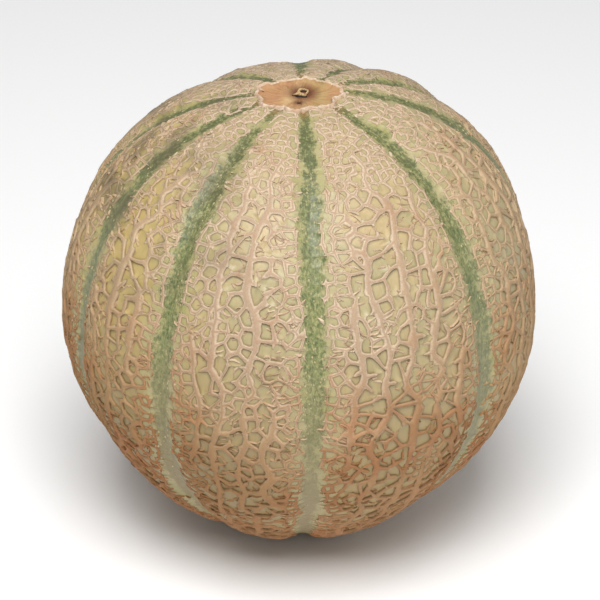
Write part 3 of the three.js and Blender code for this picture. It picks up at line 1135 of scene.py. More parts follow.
    def build(self, material: bpy.types.Material) -> bpy.types.Object:
        """Makes the skin piece.

        Args:
            material: The rind's material.

        Returns:
            The piece.
        """
        skin = self.grow()
        points = self.wander(np.concatenate(skin.points))
        nets, feet = np.concatenate(skin.nets), np.concatenate(skin.feet)
        lift = np.concatenate(skin.lifts) * (1 + 0.14 * waves(points, 9, 81))
        lift = (lift - 2.8 * ease((self.pattern.scar.depth_inside(points) + 0.5) / 1.4)) * MM
        piece = mesh_piece("melon_rind", points, skin.faces, {"lift": lift, "net": nets})
        ends = np.zeros(len(piece.data.edges) * 2, np.int32)
        piece.data.edges.foreach_get("vertices", ends)
        ends = ends.reshape(-1, 2)
        sharp = feet[ends].all(axis=1) & (nets[ends].max(axis=1) > 0.2)
        piece.data.attributes.new("sharp_edge", "BOOLEAN", "EDGE").data.foreach_set("value", sharp)
        return apply_tree(piece, self.form.tree(), material)


@dataclass(frozen=True)
class CorkFinish:
    """The cork's colours, and what they turn to with age and with painted shade, by place on the fruit."""

    middle: str = "b49a81"
    # lip: paler cork, painted on the cords' lips as painted highlight; the spurs use it as a paler tone at
    # random.
    lip: str = "cfbca3"
    dull: str = "9a7c5a"
    side: str = "a98a5c"
    low: str = "a87d45"
    umber: str = "8c683a"
    brown: str = "96693f"
    rust: str = "a26e45"
    back: str = "93856e"


class Effects:
    """Shader node groups that several finishes of the melon share."""

    def __init__(self, cork: CorkFinish) -> None:
        """Builds each group once, with the colours of the cork."""
        self.cork = cork
        self.grain = self.cork_grain()
        self.patches = self.stain_patches()
        self.fibres = self.fine_fibres()
        self.meridians = self.meridian_streaks()
        self.weather = self.weathering()
        self.aged = self.aged_cork()

    def cork_grain(self) -> bpy.types.NodeTree:
        """Makes the dry, crumbly grain of cork, with a shade and a height."""
        bench, take, result = new_group(
            "cork_grain", "Shader", {"Vector": "Vector", "Scale": 1400.0},
            {"Shade": "Float", "Height": "Float"})
        crumbs = bench.noise(take["Vector"], take["Scale"], 4.0, 0.7)
        pits = bench.node("ShaderNodeTexVoronoi", {
            "Vector": take["Vector"], "Scale": bench.times(take["Scale"], 0.9)}, feature="F1")
        pit = bench.span(pits.outputs["Distance"], 0.0, 0.35)
        bench.wire(result, {"Shade": bench.times(bench.span(crumbs, 0.3, 0.7), pit),
                            "Height": bench.times(crumbs, bench.span(pit, 0.0, 1.0, 0.6, 1.0))})
        return bench.tree

    def stain_patches(self) -> bpy.types.NodeTree:
        """Makes soft-edged patches, as where the rind has weathered, as a mask."""
        bench, take, result = new_group(
            "stain_patches", "Shader", {"Vector": "Vector", "Scale": 30.0, "Start": 0.5, "Softness": 0.14},
            {"Mask": "Float"})
        cloud = bench.noise(take["Vector"], take["Scale"], 5.0, 0.62, 0.4)
        past = bench.math("SUBTRACT", cloud, take["Start"])
        bench.wire(result, {"Mask": bench.span(bench.math("DIVIDE", past, take["Softness"]), 0, 1)})
        return bench.tree

    def fine_fibres(self) -> bpy.types.NodeTree:
        """Makes fine fibres, drawn out along the axis that the vector is squeezed along."""
        bench, take, result = new_group(
            "fine_fibres", "Shader", {"Vector": "Vector", "Squeeze": (1.0, 1.0, 0.2), "Scale": 900.0},
            {"Value": "Float"})
        drawn = bench.vector("MULTIPLY", take["Vector"], take["Squeeze"])
        bench.wire(result, {"Value": bench.noise(drawn, take["Scale"], 4.0, 0.65, 0.5)})
        return bench.tree

    def meridian_streaks(self) -> bpy.types.NodeTree:
        """Makes streaks that run from the top of the fruit to its bottom, as in the seams' felt."""
        bench, take, result = new_group(
            "meridian_streaks", "Shader", {"Vector": "Vector", "Scale": 95.0}, {"Value": "Float"})
        x, y, z = bench.split(take["Vector"])
        out = bench.math("SQRT", bench.plus(bench.times(x, x), bench.times(y, y)))
        turned = bench.join(bench.math("DIVIDE", x, out), bench.math("DIVIDE", y, out), bench.times(z, 4.2))
        bench.wire(result, {"Value": bench.noise(turned, take["Scale"], 4.0, 0.68, 1.4)})
        return bench.tree

    def weathering(self) -> bpy.types.NodeTree:
        """Makes weathered orange-brown blotches, mostly low down, stain and painted shade at the bottom,
        and a grey patch on the left.
        """
        bench, take, result = new_group(
            "weathering", "Shader", {"Vector": "Vector"},
            {"Mask": "Float", "Color": "Color", "Grey": "Float"})
        where = take["Vector"]
        x, _, height = bench.split(where)
        blotches, small, dull = (
            bench.use(self.patches, Vector=where, Scale=scale, Start=start)["Mask"]
            for scale, start in ((34.0, 0.44), (75.0, 0.55), (52.0, 0.47)))
        lower = bench.times(blotches, bench.span(height, 0.110, 0.060, 0.0, 0.9))
        mask = bench.math("MAXIMUM", lower, bench.times(small, 0.35))
        # A smooth band of the same orange-brown near the bottom: partly stain, partly painted shade.
        mask = bench.math("MAXIMUM", mask, bench.span(height, 0.070, 0.020, 0.0, 0.7))
        left = bench.times(bench.span(x, -0.012, -0.032), bench.span(height, 0.098, 0.122))
        rusty = bench.tint(self.cork.brown, self.cork.rust, bench.noise(where, 60.0), 0.4, 0.6)
        bench.wire(result, {"Mask": mask, "Color": rusty, "Grey": bench.times(dull, left, 0.58)})
        return bench.tree

    def aged_cork(self) -> bpy.types.NodeTree:
        """Tints cork with age and painted shade: duller at the sides, tan to umber low down, with weathered
        blotches.
        """
        bench, take, result = new_group(
            "aged_cork", "Shader", {"Vector": "Vector", "Color": "Color"}, {"Color": "Color"})
        where = take["Vector"]
        x, y, height = bench.split(where)
        cork = bench.tint(take["Color"], self.cork.side, bench.math("ABSOLUTE", x), 0.022, 0.058, 0.5)
        cork = bench.tint(cork, self.cork.low, height, 0.100, 0.050, 0.6)
        # Umber on the lower left: partly stain, partly painted shade.
        cork = bench.blend(bench.times(self.lower_left(bench, x, height), 0.7), cork, self.cork.umber)
        behind = bench.times(bench.span(y, 0.004, 0.020), bench.span(height, 0.115, 0.130), 0.5)
        cork = bench.blend(behind, cork, self.cork.back)
        blotch = bench.use(self.weather, Vector=where)
        bench.wire(result, {"Color": bench.blend(blotch["Mask"], cork, blotch["Color"])})
        return bench.tree

    @staticmethod
    def lower_left(bench: NodeBench, x: Socket, height: Socket) -> Socket:
        """Share of the darker, browner lower left: partly stain, partly painted shade."""
        return bench.times(bench.span(x, 0.008, -0.028), bench.span(height, 0.098, 0.050))

    @staticmethod
    def stripe_reach(bench: NodeBench, seam: Socket, out: Socket) -> Socket:
        """Distance to the nearest seam, stretched towards the top, where the bare stripes narrow."""
        return bench.math("DIVIDE", seam, bench.span(out, 0.010, 0.048, 0.42, 1.0))


@dataclass(frozen=True)
class RindFinish:
    """The rind's finish: pale skin, corky cords, green seams."""

    skin: str = "ada07a"
    skin_yellow: str = "b5a077"
    skin_green: str = "9e9670"
    skin_low: str = "9a804e"
    skin_left: str = "b59c5b"
    skin_umber: str = "7a6740"
    # Dark foot of the cords: a real crack, deepened as painted shade.
    cork_foot_crack_and_shade: str = "685032"
    foot_shadow: str = "504528"
    seam_dark: str = "505c36"
    seam_mid: str = "777c4d"
    seam_light: str = "9a9768"
    seam_top: str = "575b39"
    seam_grey: str = "76795f"
    seam_faded: str = "8c7c58"
    seam_tip: str = "8a6a3c"
    seam_brown: str = "645e3c"
    halo: str = "a39a70"
    lime: str = "8b9049"
    grey: str = "59503d"

    def skin_colour(self, bench: NodeBench, effects: Effects, where: Socket) -> Socket:
        """Colours the smooth skin between the cords.

        Args:
            bench: The material's bench.
            effects: The shared groups.
            where: Object coordinates.

        Returns:
            The colour.
        """
        x, _, height = bench.split(where)
        streak = bench.use(effects.fibres, Vector=where, Scale=1000.0)["Value"]
        skin = bench.tint(self.skin, self.skin_yellow, bench.noise(where, 26.0, 4.0), 0.42, 0.62)
        skin = bench.tint(skin, self.skin_green, bench.noise(where, 150.0, 2.0), 0.45, 0.7, 0.8)
        skin = bench.tint(skin, self.skin_low, streak, 0.45, 0.7, 0.35)
        skin = bench.tint(skin, self.skin_left, x, -0.015, -0.045, 0.65)
        skin = bench.tint(skin, self.skin_low, height, 0.105, 0.050, 0.85)
        # Umber on the lower left: partly stain, partly painted shade.
        return bench.blend(bench.times(effects.lower_left(bench, x, height), 0.6), skin, self.skin_umber)

    def with_seams(self, bench: NodeBench, effects: Effects, where: Socket, skin: Socket) -> Socket:
        """Colours the felted green seams and the pale halo beside them.

        Args:
            bench: The material's bench.
            effects: The shared groups.
            where: Object coordinates.
            skin: The skin's colour.

        Returns:
            The colour of skin and seams.
        """
        x, _, height = bench.split(where)
        out = bench.vector("LENGTH", bench.vector("MULTIPLY", where, (1.0, 1.0, 0.0)))
        felt = bench.use(effects.fibres, Vector=where, Squeeze=(1.0, 1.0, 0.7), Scale=1050.0)["Value"]
        broad = bench.noise(where, 130.0, 4.0, 0.7)
        streaks = bench.use(effects.meridians, Vector=where)["Value"]
        depth = bench.plus(bench.times(felt, 0.5), bench.times(broad, 0.2), bench.times(streaks, 0.3))
        green = bench.tint(self.seam_dark, self.seam_mid, depth, 0.42, 0.49)
        green = bench.tint(green, self.seam_light, depth, 0.505, 0.58)
        brown = bench.times(bench.span(streaks, 0.50, 0.36), bench.span(broad, 0.44, 0.58), 0.8)
        green = bench.blend(brown, green, self.seam_brown)
        darker = bench.times(bench.span(height, 0.112, 0.138), bench.span(depth, 0.45, 0.56, 1.0, 0.08))
        green = bench.blend(darker, green, self.seam_top)
        green = bench.tint(green, self.seam_faded, height, 0.096, 0.036, 0.96)
        green = bench.tint(green, self.seam_grey, bench.math("ABSOLUTE", x), 0.042, 0.064, 0.55)
        # Umber on the lower left of the seams: partly stain, partly painted shade.
        green = bench.blend(bench.times(effects.lower_left(bench, x, height), 0.35), green, self.skin_umber)
        tip = bench.times(bench.span(out, 0.0180, 0.0135), bench.span(broad, 0.40, 0.55), 0.75)
        green = bench.blend(tip, green, self.seam_tip)
        ragged = bench.plus(
            effects.stripe_reach(bench, bench.attribute("seam"), out),
            bench.span(bench.noise(where, 260.0, 5.0, 0.75), 0.3, 0.7, -0.0022, 0.0022),
            bench.span(bench.noise(where, 48.0, 2.0), 0.35, 0.65, -0.0009, 0.0009))
        patch = bench.use(effects.patches, Vector=where, Scale=70.0, Start=0.50)["Mask"]
        halo = bench.blend(bench.times(patch, 0.6), self.halo, self.lime)
        skin = bench.blend(bench.span(ragged, 0.0034, 0.0085, 0.8, 0.0, smooth=True), skin, halo)
        ragged = bench.plus(ragged, bench.span(streaks, 0.3, 0.7, -0.0006, 0.0006))
        return bench.blend(bench.span(ragged, 0.0016, 0.0042, 1.0, 0.0, smooth=True), skin, green)

    def material(self, effects: Effects) -> bpy.types.Material:
        """Makes the rind material.

        Args:
            effects: The shared groups.

        Returns:
            The material.
        """
        made, bench, where = new_material("rind")
        net = bench.attribute("net")
        grain = bench.use(effects.grain, Vector=where, Scale=1500.0)
        skin = self.with_seams(bench, effects, where, self.skin_colour(bench, effects, where))
        skin = bench.tint(skin, self.foot_shadow, net, 0.19, 0.30, 0.42)
        # The cords' lips are painted paler than their middles: painted highlight.
        cork = bench.tint(effects.cork.lip, effects.cork.middle, net, 0.70, 0.86)
        cork = bench.blend(bench.span(grain["Shade"], 0.1, 0.9, 0.45, 0.0), cork, effects.cork.dull)
        cork = bench.use(effects.aged, Vector=where, Color=cork)["Color"]
        # Darker towards the cord's foot: a real crack, and painted shade where the cord meets the skin.
        cork = bench.blend(bench.span(net, 0.30, 0.54, 0.62, 0.0), cork, self.cork_foot_crack_and_shade)
        is_cork = bench.span(net, 0.29, 0.32)
        grey = bench.use(effects.weather, Vector=where)["Grey"]
        gloss = bench.use(effects.fibres, Vector=where, Scale=700.0)["Value"]
        bench.finish(
            colour=bench.blend(grey, bench.blend(is_cork, skin, cork), self.grey),
            roughness=bench.mix(is_cork, bench.span(gloss, 0.3, 0.7, 0.38, 0.56), 0.86),
            height=bench.mix(is_cork, bench.times(gloss, 0.35), grain["Height"]), strength=0.55)
        return made


@dataclass(frozen=True)
class ScarFinish:
    """The stem scar's finish: a pale crusty rim round an orange-tan dish, and a dry nub."""

    dish: str = "a17651"
    dish_pale: str = "b99a6d"
    dish_green: str = "a28c58"
    dish_warm: str = "b3855f"
    fibre: str = "8c5530"
    dark: str = "5e2f17"
    # pit: near-black painted shade for the dish's pit.
    pit: str = "2a150b"
    pit_place: tuple[float, float, float] = (-0.0008, -0.0032, 0.0)
    crust: str = "c8ae95"
    crust_dull: str = "9a7d5f"
    crust_brown: str = "b08155"
    crust_pale: str = "dac9b6"
    nub: str = "8f6d43"
    nub_pale: str = "d3b585"
    nub_hole_shade: str = "1f1208"

    def material(self, effects: Effects) -> bpy.types.Material:
        """Makes the scar material.

        Args:
            effects: The shared groups.

        Returns:
            The material.
        """
        made, bench, where = new_material("stem_scar")
        x = bench.split(where)[0]
        grain = bench.use(effects.grain, Vector=where, Scale=1300.0)
        patch = bench.use(effects.patches, Vector=where, Scale=90.0, Start=0.52)["Mask"]
        dish = bench.tint(self.dish, self.dish_pale, bench.noise(where, 160.0, 4.0), 0.4, 0.62)
        dish = bench.tint(dish, self.dish_warm, x, -0.004, -0.009, 0.55)
        olive = bench.math("MAXIMUM", bench.span(x, -0.001, 0.005, 0.0, 0.55), bench.times(patch, 0.4))
        dish = bench.blend(olive, dish, self.dish_green)
        dish = bench.tint(dish, self.dish_warm, x, 0.0065, 0.0095, 0.7)
        dish = bench.tint(dish, self.fibre, bench.attribute("tone"), 0.35, 0.0, 0.45)
        dish = bench.tint(dish, self.dark, bench.attribute("seam"), 0.0060, 0.0024, 0.95)
        flat = bench.vector("MULTIPLY", where, (1.0, 1.0, 0.0))
        # Near-black painted shade in the dish's pit.
        dish = bench.tint(dish, self.pit, bench.vector("DISTANCE", flat, self.pit_place), 0.00085, 0.00045)
        scab = bench.noise(where, 380.0, 4.0, 0.65)
        crust = bench.blend(bench.span(grain["Shade"], 0.1, 0.9, 0.4, 0.0), self.crust, self.crust_dull)
        crust = bench.tint(crust, self.crust_brown, scab, 0.54, 0.68, 0.55)
        crust = bench.tint(crust, self.crust_pale, scab, 0.50, 0.38, 0.6)
        rim = bench.span(bench.attribute("net"), 0.35, 0.62, smooth=True)
        bench.finish(bench.blend(rim, dish, crust), 0.8, grain["Height"])
        return made

    def nub_material(self, effects: Effects) -> bpy.types.Material:
        """Makes the nub's material: dry pale fibre, with painted shade in its hole and at its foot.

        Args:
            effects: The shared groups.

        Returns:
            The material.
        """
        made, bench, where = new_material("stem_nub")
        grain = bench.use(effects.grain, Vector=where, Scale=1700.0)
        wood = bench.blend(grain["Shade"], self.nub, self.nub_pale)
        # Painted shade in the hole and at the foot, from each step's darkness.
        wood = bench.tint(wood, self.nub_hole_shade, bench.attribute("net"), 0.3, 0.8)
        bench.finish(wood, 0.8, grain["Height"])
        return made


@dataclass
class StemScar:
    """The round scar where the stalk slipped off: a lobed crusty rim, a fibrous dish and a dry nub.

    Its sizes are in millimetres, and its places are across the skin from the top's middle.
    """

    form: MelonForm = field(default_factory=MelonForm)
    shape: ScarShape = field(default_factory=ScarShape)
    around: int = 360
    nub_around: int = 72
    nub_radius: float = 1.5
    nub_height: float = 0.95
    nub_place: tuple[float, float] = (0.3, 2.6)
    pit_place: tuple[float, float] = (-0.8, -3.2)
    dish_depth: float = 1.4

    def profile(self, share: float) -> float:
        """Height of the scar's surface over the skin, from the rim at 1 to the middle at 0."""
        places = [0.0, 0.25, 0.5, 0.7, 0.82, 0.88, 0.92, 0.95, 0.975, 1.0, 1.03, 1.06, 1.12]
        heights = [-1.45, -1.4, -1.2, -1.0, -0.75, -0.5, 0.0, 0.5, 0.75, 0.7, 0.35, -0.5, -2.0]
        return float(np.interp(share, places, heights))

    def build(self, material: bpy.types.Material) -> bpy.types.Object:
        """Makes the scar as one closed piece on the skin.

        Args:
            material: Its material.

        Returns:
            The piece.
        """
        shares = (1.12, 1.06, 1.03, 1.0, 0.975, 0.95, 0.92, 0.89, 0.85, 0.80, 0.75, 0.70, 0.63, 0.56,
                  0.49, 0.42, 0.36, 0.30, 0.24, 0.18, 0.12, 0.06)
        angle = np.linspace(0, FULL_TURN, self.around, endpoint=False)
        rim = self.shape.reach(angle)
        heading = np.stack([np.cos(angle), np.sin(angle)], axis=1)
        round_rim = np.stack([rim * np.cos(angle), rim * np.sin(angle), 0 * angle], axis=1) / NOMINAL_RADIUS
        torn = 0.46 * waves(round_rim, 3.9, 95) + 0.16 * waves(round_rim, 1.5, 96)
        rings, lifts, crust, hearts, tones = [], [], [], [], []
        for share in shares:
            reach = rim * share + torn * ease((share - 0.90) / 0.05)
            flat = reach[:, None] * heading + np.array(self.shape.centre)
            ring = on_skin(flat)
            to_pit = np.linalg.norm(flat - np.array(self.pit_place), axis=1)
            to_nub = np.linalg.norm(flat - np.array(self.nub_place), axis=1)
            fibre = (np.sin(31 * angle + 2 * np.sin(5 * angle)) + np.sin(53 * angle + 12 * share)
                     + 0.8 * np.sin(17 * angle - 6 * share))
            inside = ease((0.9 - share) / 0.1)
            knobs = (waves(ring, 3.0, 91) + 0.6 * waves(ring, 1.5, 93)) * ease((share - 0.89) / 0.05)
            lift = self.profile(share) + 0.07 * inside * fibre * min(1.0, share * 3)
            lift = lift + 0.19 * knobs + 0.16 * waves(ring, 7.0, 92) * inside
            lift = lift - 1.3 * bell(to_pit, 0.0, 0.55) - 0.35 * bell(to_nub, 2.2, 0.5)
            rings.append(ring)
            lifts.append(lift)
            crust.append(np.full(self.around, ease((share - 0.915) / 0.05)))
            hearts.append(np.minimum(to_nub * MM, 0.0022 + to_pit * 1.4 * MM))
            tones.append(0.5 + 0.2 * fibre * inside)
        under = direction_at(0.0, 0.0)
        points, faces = closed_rings(rings, under, under)
        piece = mesh_piece("stem_scar", points, faces, {
            "lift": capped(lifts, -5.0, -1.45) * MM, "net": capped(crust, 0, 0),
            "seam": capped(hearts, 0.02, 0.0), "tone": capped(tones, 0.5, 0.5)})
        return apply_tree(piece, self.form.tree(keep_seam=True), material)

    def build_nub(self, material: bpy.types.Material) -> bpy.types.Object:
        """Makes the nub: a torn curl of dry fibre round a dark hole, with a beak and a strand.

        Args:
            material: Its material.

        Returns:
            The piece.
        """
        # Each step inwards has its share of the radius, its rise and how dark it is, as painted shade at
        # the foot and down the hole.
        steps = ((1.42, -2.4, 0.9), (1.34, -1.2, 0.9), (1.22, -0.78, 0.85), (1.11, -0.52, 0.45),
                 (1.02, -0.2, 0.1), (0.92, 0.06, 0.0), (0.80, 0.10, 0.0), (0.68, -0.12, 0.35),
                 (0.58, -0.5, 0.95), (0.48, -0.9, 1.0), (0.22, -1.2, 1.0))
        angle = np.linspace(0, FULL_TURN, self.nub_around, endpoint=False)
        heading = np.stack([np.cos(angle), np.sin(angle)], axis=1)
        ragged = 1 + 0.07 * np.sin(3 * angle + 0.7) + 0.05 * np.sin(5 * angle) + 0.03 * np.sin(11 * angle)
        ragged = ragged + 0.42 * bell(angle, 4.95, 0.38)
        strand = 0.85 * bell(angle, 3.5, 0.20)
        torn = 0.26 * np.cos(angle - 2.0) + 0.13 * np.sin(3 * angle + 1.0) + 0.06 * np.sin(7 * angle)
        middle = np.array(self.nub_place)
        rings, lifts, dark = [], [], []
        for share, rise, depth in steps:
            reach = self.nub_radius * share * (ragged + strand * np.clip((share - 0.9) / 0.2, 0, 1))
            flat = reach[:, None] * heading + middle
            flat[:, 0] += 0.45 * (1.0 - share)
            rings.append(on_skin(flat))
            lip = torn * max(0.0, 1 - abs(share - 0.84) * 3)
            lifts.append(-self.dish_depth + self.nub_height + rise + lip)
            dark.append(np.full(self.nub_around, depth))
        points, faces = closed_rings(rings, on_skin(middle), on_skin(middle))
        piece = mesh_piece("stem_nub", points, faces, {
            "lift": capped(lifts, -3.4, -1.2) * MM, "net": capped(dark, 1, 1)})
        return apply_tree(piece, self.form.tree(), material)


def strew(bench: NodeBench, take: bpy.types.NodeOutputs, share: Socket) -> bpy.types.Node:
    """Strews points over the skin that a tree is given, but for its underside.

    Args:
        bench: The tree's bench.
        take: The tree's inputs, with Geometry, Density and Seed.
        share: Share of the full density at each place.

    Returns:
        The node with the points and their rotations.
    """
    height = bench.split(bench.place())[2]
    share = bench.times(share, bench.math("GREATER_THAN", height, BARE_FOOT))
    return bench.node("GeometryNodeDistributePointsOnFaces", {
        "Mesh": take["Geometry"], "Density": bench.times(share, take["Density"]),
        "Seed": take["Seed"]}, distribute_method="RANDOM")


@dataclass
class NetSpurs:
    """Short thin spurs of cork that crust the net along the seams and round the scar."""

    form: MelonForm = field(default_factory=MelonForm)
    density: float = 235000.0
    shortest: float = 0.0009
    longest: float = 0.0029
    narrowest: float = 0.00022
    widest: float = 0.00040
    height: float = 0.00052
    crust: float = 1.0
    bend: float = 0.0034
    seed: int = 8

    def guide(self) -> bpy.types.Object:
        """Makes the bare closed skin that the spurs are strewn over, with its distance to the seams."""
        around, rows = 180, 110
        angle = np.linspace(0, FULL_TURN, around, endpoint=False)
        rings = []
        for tilt in np.linspace(math.pi, 0, rows + 2)[1:-1]:
            out, level = math.sin(tilt), np.full(around, math.cos(tilt))
            rings.append(np.stack([out * np.cos(angle), out * np.sin(angle), level], axis=1))
        points, faces = closed_rings(rings, np.array([0.0, 0.0, -1.0]), np.array([0.0, 0.0, 1.0]))
        piece = mesh_piece("net_spurs", points, faces, {"lift": np.zeros(len(points))})
        return apply_tree(piece, self.form.tree(), None)

    def share(self, bench: NodeBench, wide: Socket, crust: Socket) -> Socket:
        """Finds how thickly the spurs lie at each place.

        Args:
            bench: The tree's bench.
            wide: Distance to the nearest seam, stretched towards the top.
            crust: Their share round the scar.

        Returns:
            A share of the full density.
        """
        x, y, z = bench.split(bench.place())
        oval = bench.math("POWER", bench.plus(
            bench.math("POWER", bench.math("DIVIDE", bench.plus(x, 0.0008), 0.0124), 2.0),
            bench.math("POWER", bench.math("DIVIDE", y, 0.0105), 2.0)), 0.5)
        inner = bench.span(wide, 0.0140, 0.0070, 0.40, 1.0)
        top = bench.span(z, 0.118, 0.138, 0.0, 0.8)
        low = bench.span(z, 0.090, 0.045, 0.0, 0.6)
        most = bench.math("MAXIMUM", bench.math("MAXIMUM", inner, low), top)
        share = bench.times(bench.span(wide, 0.0034, 0.0048), most)
        clump = bench.node("ShaderNodeTexNoise", {"Scale": 90.0}).outputs[0]
        share = bench.times(share, bench.span(clump, 0.38, 0.60, 0.15, 1.0))
        share = bench.math("MAXIMUM", share, bench.times(bench.span(oval, 1.40, 1.12, 0.0, 1.3), crust))
        return bench.times(share, bench.math("GREATER_THAN", oval, 1.12))

    def tree(self) -> bpy.types.NodeTree:
        """Makes the tree that strews spurs."""
        bench, take, result = new_group("net_spurs", "Geometry", {
            "Geometry": "Geometry", **named_inputs(self, "form"), "Material": "Material"},
            {"Geometry": "Geometry"})
        x, y, _ = bench.split(bench.place())
        out = bench.math("POWER", bench.plus(bench.math("POWER", x, 2.0), bench.math("POWER", y, 2.0)), 0.5)
        wide = Effects.stripe_reach(bench, bench.attribute("seam"), out)
        strewn = strew(bench, take, self.share(bench, wide, take["Crust"]))
        aim = bench.node("FunctionNodeAlignRotationToVector", {
            "Rotation": strewn.outputs["Rotation"], "Vector": bench.join(bench.times(y, -1.0), x)},
            axis="X", pivot_axis="Z")
        spin = bench.node("FunctionNodeAxisAngleToRotation", {
            "Axis": (0.0, 0.0, 1.0), "Angle": bench.draw(-1.25, 1.25, 3)})
        turn = bench.node("FunctionNodeRotateRotation", {
            "Rotation": aim.outputs[0], "Rotate By": spin.outputs[0]}, rotation_space="LOCAL")
        ball = bench.node("GeometryNodeMeshUVSphere", {"Segments": 4, "Rings": 5, "Radius": 1.0})
        laid = bench.node("GeometryNodeTransform", {
            "Geometry": ball.outputs[0], "Rotation": (0.0, math.pi / 2, 0.0)})
        length = bench.times(bench.draw(take["Shortest"], take["Longest"], 5),
                             bench.span(wide, 0.0034, 0.0080, 0.45, 1.0))
        size = bench.join(length, bench.draw(take["Narrowest"], take["Widest"], 6), take["Height"])
        put = bench.node("GeometryNodeInstanceOnPoints", {
            "Points": strewn.outputs["Points"], "Instance": laid.outputs[0],
            "Rotation": turn.outputs[0], "Scale": size})
        sway = bench.node("ShaderNodeTexNoise", {"Scale": 420.0, "Detail": 1.0}).outputs["Color"]
        outward = bench.vector("SUBTRACT", bench.place(), (0.0, 0.0, self.form.rest_depth))
        sideways = bench.vector("CROSS_PRODUCT", bench.vector("NORMALIZE", outward),
                                bench.vector("SUBTRACT", sway, (0.5, 0.5, 0.5)))
        bent = bench.node("GeometryNodeSetPosition", {
            "Geometry": bench.real(put.outputs[0]),
            "Offset": bench.vector("SCALE", sideways, take["Bend"])})
        bench.hand_over(result, bent.outputs[0], take["Material"])
        return bench.tree

    def material(self, effects: Effects) -> bpy.types.Material:
        """Makes the spurs' cork, weathered like the rest of the net.

        Args:
            effects: The shared groups.

        Returns:
            The material.
        """
        made, bench, where = new_material("net_spur")
        grain = bench.use(effects.grain, Vector=where, Scale=1500.0)
        cork = bench.tint(effects.cork.middle, effects.cork.lip, bench.noise(where, 300.0, 2.0), 0.35, 0.65)
        cork = bench.blend(bench.span(grain["Shade"], 0.1, 0.9, 0.4, 0.0), cork, effects.cork.dull)
        cork = bench.use(effects.aged, Vector=where, Color=cork)["Color"]
        bench.finish(cork, 0.86, grain["Height"], 0.4, 0.0003)
        return made

    def build(self, effects: Effects) -> bpy.types.Object:
        """Strews the spurs."""
        return apply_tree(self.guide(), self.tree(), self.material(effects))


@dataclass
class SeamFlecks:
    """Small pale flecks of cork strewn on the green of the seams."""

    density: float = 640000.0
    smallest: float = 0.00012
    largest: float = 0.00036
    seed: int = 4
    tan: str = "948760"
    pale: str = "c2b28e"

    def tree(self) -> bpy.types.NodeTree:
        """Makes the tree that strews flecks over the rind near the seams."""
        bench, take, result = new_group("seam_flecks", "Geometry", {
            "Geometry": "Geometry", **named_inputs(self, "tan", "pale"), "Material": "Material"},
            {"Geometry": "Geometry"})
        seam = bench.attribute("seam")
        near = bench.times(bench.span(seam, 0.0004, 0.0034, 0.08, 1.0), bench.span(seam, 0.0062, 0.0046))
        clump = bench.node("ShaderNodeTexNoise", {"Scale": 150.0}).outputs[0]
        strewn = strew(bench, take, bench.times(near, bench.span(clump, 0.48, 0.66)))
        crumb = bench.node("GeometryNodeMeshIcoSphere", {"Radius": 1.0, "Subdivisions": 1})
        drawn = bench.draw(take["Smallest"], take["Largest"])
        put = bench.node("GeometryNodeInstanceOnPoints", {
            "Points": strewn.outputs["Points"], "Instance": crumb.outputs[0],
            "Rotation": strewn.outputs["Rotation"],
            "Scale": bench.join(drawn, bench.times(drawn, 1.5), bench.times(drawn, 0.6))})
        bench.hand_over(result, put.outputs[0], take["Material"])
        return bench.tree

    def material(self, effects: Effects) -> bpy.types.Material:
        """Makes the flecks' pale cork.

        Args:
            effects: The shared groups.

        Returns:
            The material.
        """
        made, bench, where = new_material("cork_fleck")
        grain = bench.use(effects.grain, Vector=where, Scale=1500.0)
        cork = bench.blend(grain["Shade"], self.tan, self.pale)
        bench.finish(cork, 0.88, grain["Height"], 0.4, 0.0002)
        return made

    def build(self, rind: bpy.types.Object, effects: Effects) -> bpy.types.Object:
        """Strews the flecks over the finished rind."""
        copy = place_object("seam_flecks", rind.data.copy())
        return apply_tree(copy, self.tree(), self.material(effects))


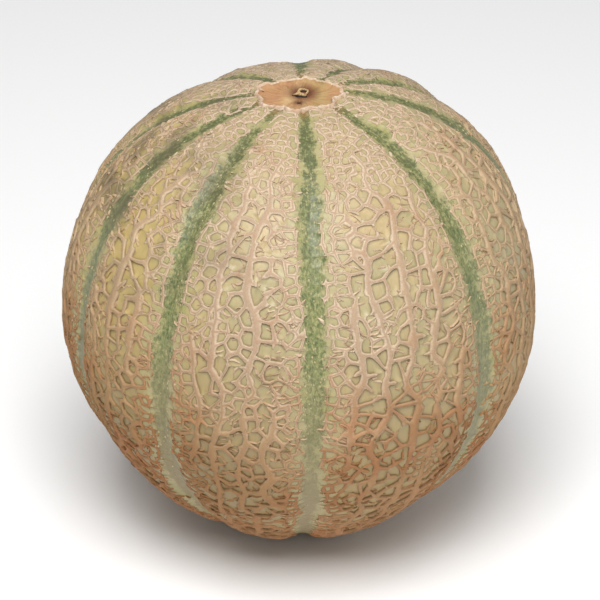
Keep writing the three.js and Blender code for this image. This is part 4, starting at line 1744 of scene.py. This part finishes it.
@dataclass
class Studio:
    """Floor, lights and camera."""

    elevation: float = 29.93
    distance: float = 0.952
    lens: float = 183.6
    roll: float = 0.985
    picture_px: float = 600.0
    middle_px: tuple[float, float] = (298.1, 310.0)
    target_height: float = 0.0716
    floor_reach: float = 4.0
    floor_grey: float = 0.93
    sky: float = 0.30

    def camera(self) -> None:
        """Stands the camera where the photograph was taken from."""
        data = bpy.data.cameras.new("camera")
        data.lens = self.lens
        data.sensor_width = 36.0
        data.clip_start, data.clip_end = 0.05, 20.0
        data.shift_x = (self.picture_px / 2 - self.middle_px[0]) / self.picture_px
        data.shift_y = (self.middle_px[1] - self.picture_px / 2) / self.picture_px
        tilt = math.radians(self.elevation)
        back = Vector((0, -math.cos(tilt), math.sin(tilt)))
        turn = (-back).to_track_quat("-Z", "Y").to_matrix().to_4x4()
        roll = Matrix.Rotation(math.radians(self.roll), 4, "Z")
        place = Vector((0, 0, self.target_height)) + back * self.distance
        camera = place_object("camera", data)
        camera.matrix_world = Matrix.Translation(place) @ turn @ roll
        bpy.context.scene.camera = camera

    def floor(self) -> None:
        """Lays a plain pale floor."""
        reach = self.floor_reach
        mesh = bpy.data.meshes.new("floor")
        mesh.from_pydata([(-reach, -reach, 0), (reach, -reach, 0), (reach, reach, 0), (-reach, reach, 0)],
                         [], [(0, 1, 2, 3)])
        pale = bpy.data.materials.new("pale_floor")
        pale.use_nodes = True
        colour = (self.floor_grey, self.floor_grey, self.floor_grey, 1)
        NodeBench(pale.node_tree).wire(
            pale.node_tree.nodes["Principled BSDF"], {"Base Color": colour, "Roughness": 0.9})
        mesh.materials.append(pale)
        place_object("floor", mesh)

    def light(self, name: str, place: tuple[float, float, float], size: float, power: float) -> None:
        """Hangs a soft square light that faces the melon.

        Args:
            name: Its name.
            place: Where it hangs, in metres.
            size: Side of the square in metres.
            power: Watts.
        """
        data = bpy.data.lights.new(name, "AREA")
        data.shape = "SQUARE"
        data.size = size
        data.energy = power
        aim = Vector((0, 0, self.target_height)) - Vector(place)
        turn = aim.to_track_quat("-Z", "Y").to_matrix().to_4x4()
        place_object(name, data).matrix_world = Matrix.Translation(place) @ turn

    def build(self) -> None:
        """Sets up the whole studio."""
        self.camera()
        self.floor()
        self.light("key", (-0.05, -0.54, 1.09), 0.70, 16.6)
        self.light("fill", (0.9, -0.7, 0.6), 1.2, 2.0)
        world = bpy.data.worlds.new("studio")
        world.use_nodes = True
        NodeBench(world.node_tree).wire(world.node_tree.nodes["Background"], {0: (1, 1, 1, 1), 1: self.sky})
        bpy.context.scene.world = world
        bpy.context.scene.view_settings.view_transform = "Standard"


def main() -> None:
    """Builds the melon and its studio, and reports the pieces."""
    Studio().build()
    effects = Effects(CorkFinish())
    scar_finish = ScarFinish()
    scar_maker = StemScar()
    rind = MelonSkin().build(RindFinish().material(effects))
    scar = scar_maker.build(scar_finish.material(effects))
    nub = scar_maker.build_nub(scar_finish.nub_material(effects))
    flecks = SeamFlecks().build(rind, effects)
    spurs = NetSpurs().build(effects)
    for piece in (rind, scar, nub, flecks, spurs):
        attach(piece, "root")
        triangles = sum(len(face.vertices) - 2 for face in piece.data.polygons)
        log.info("built %s: %d triangles", piece.name, triangles)
    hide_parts("melon")
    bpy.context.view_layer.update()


if __name__ == "__main__":
    main()
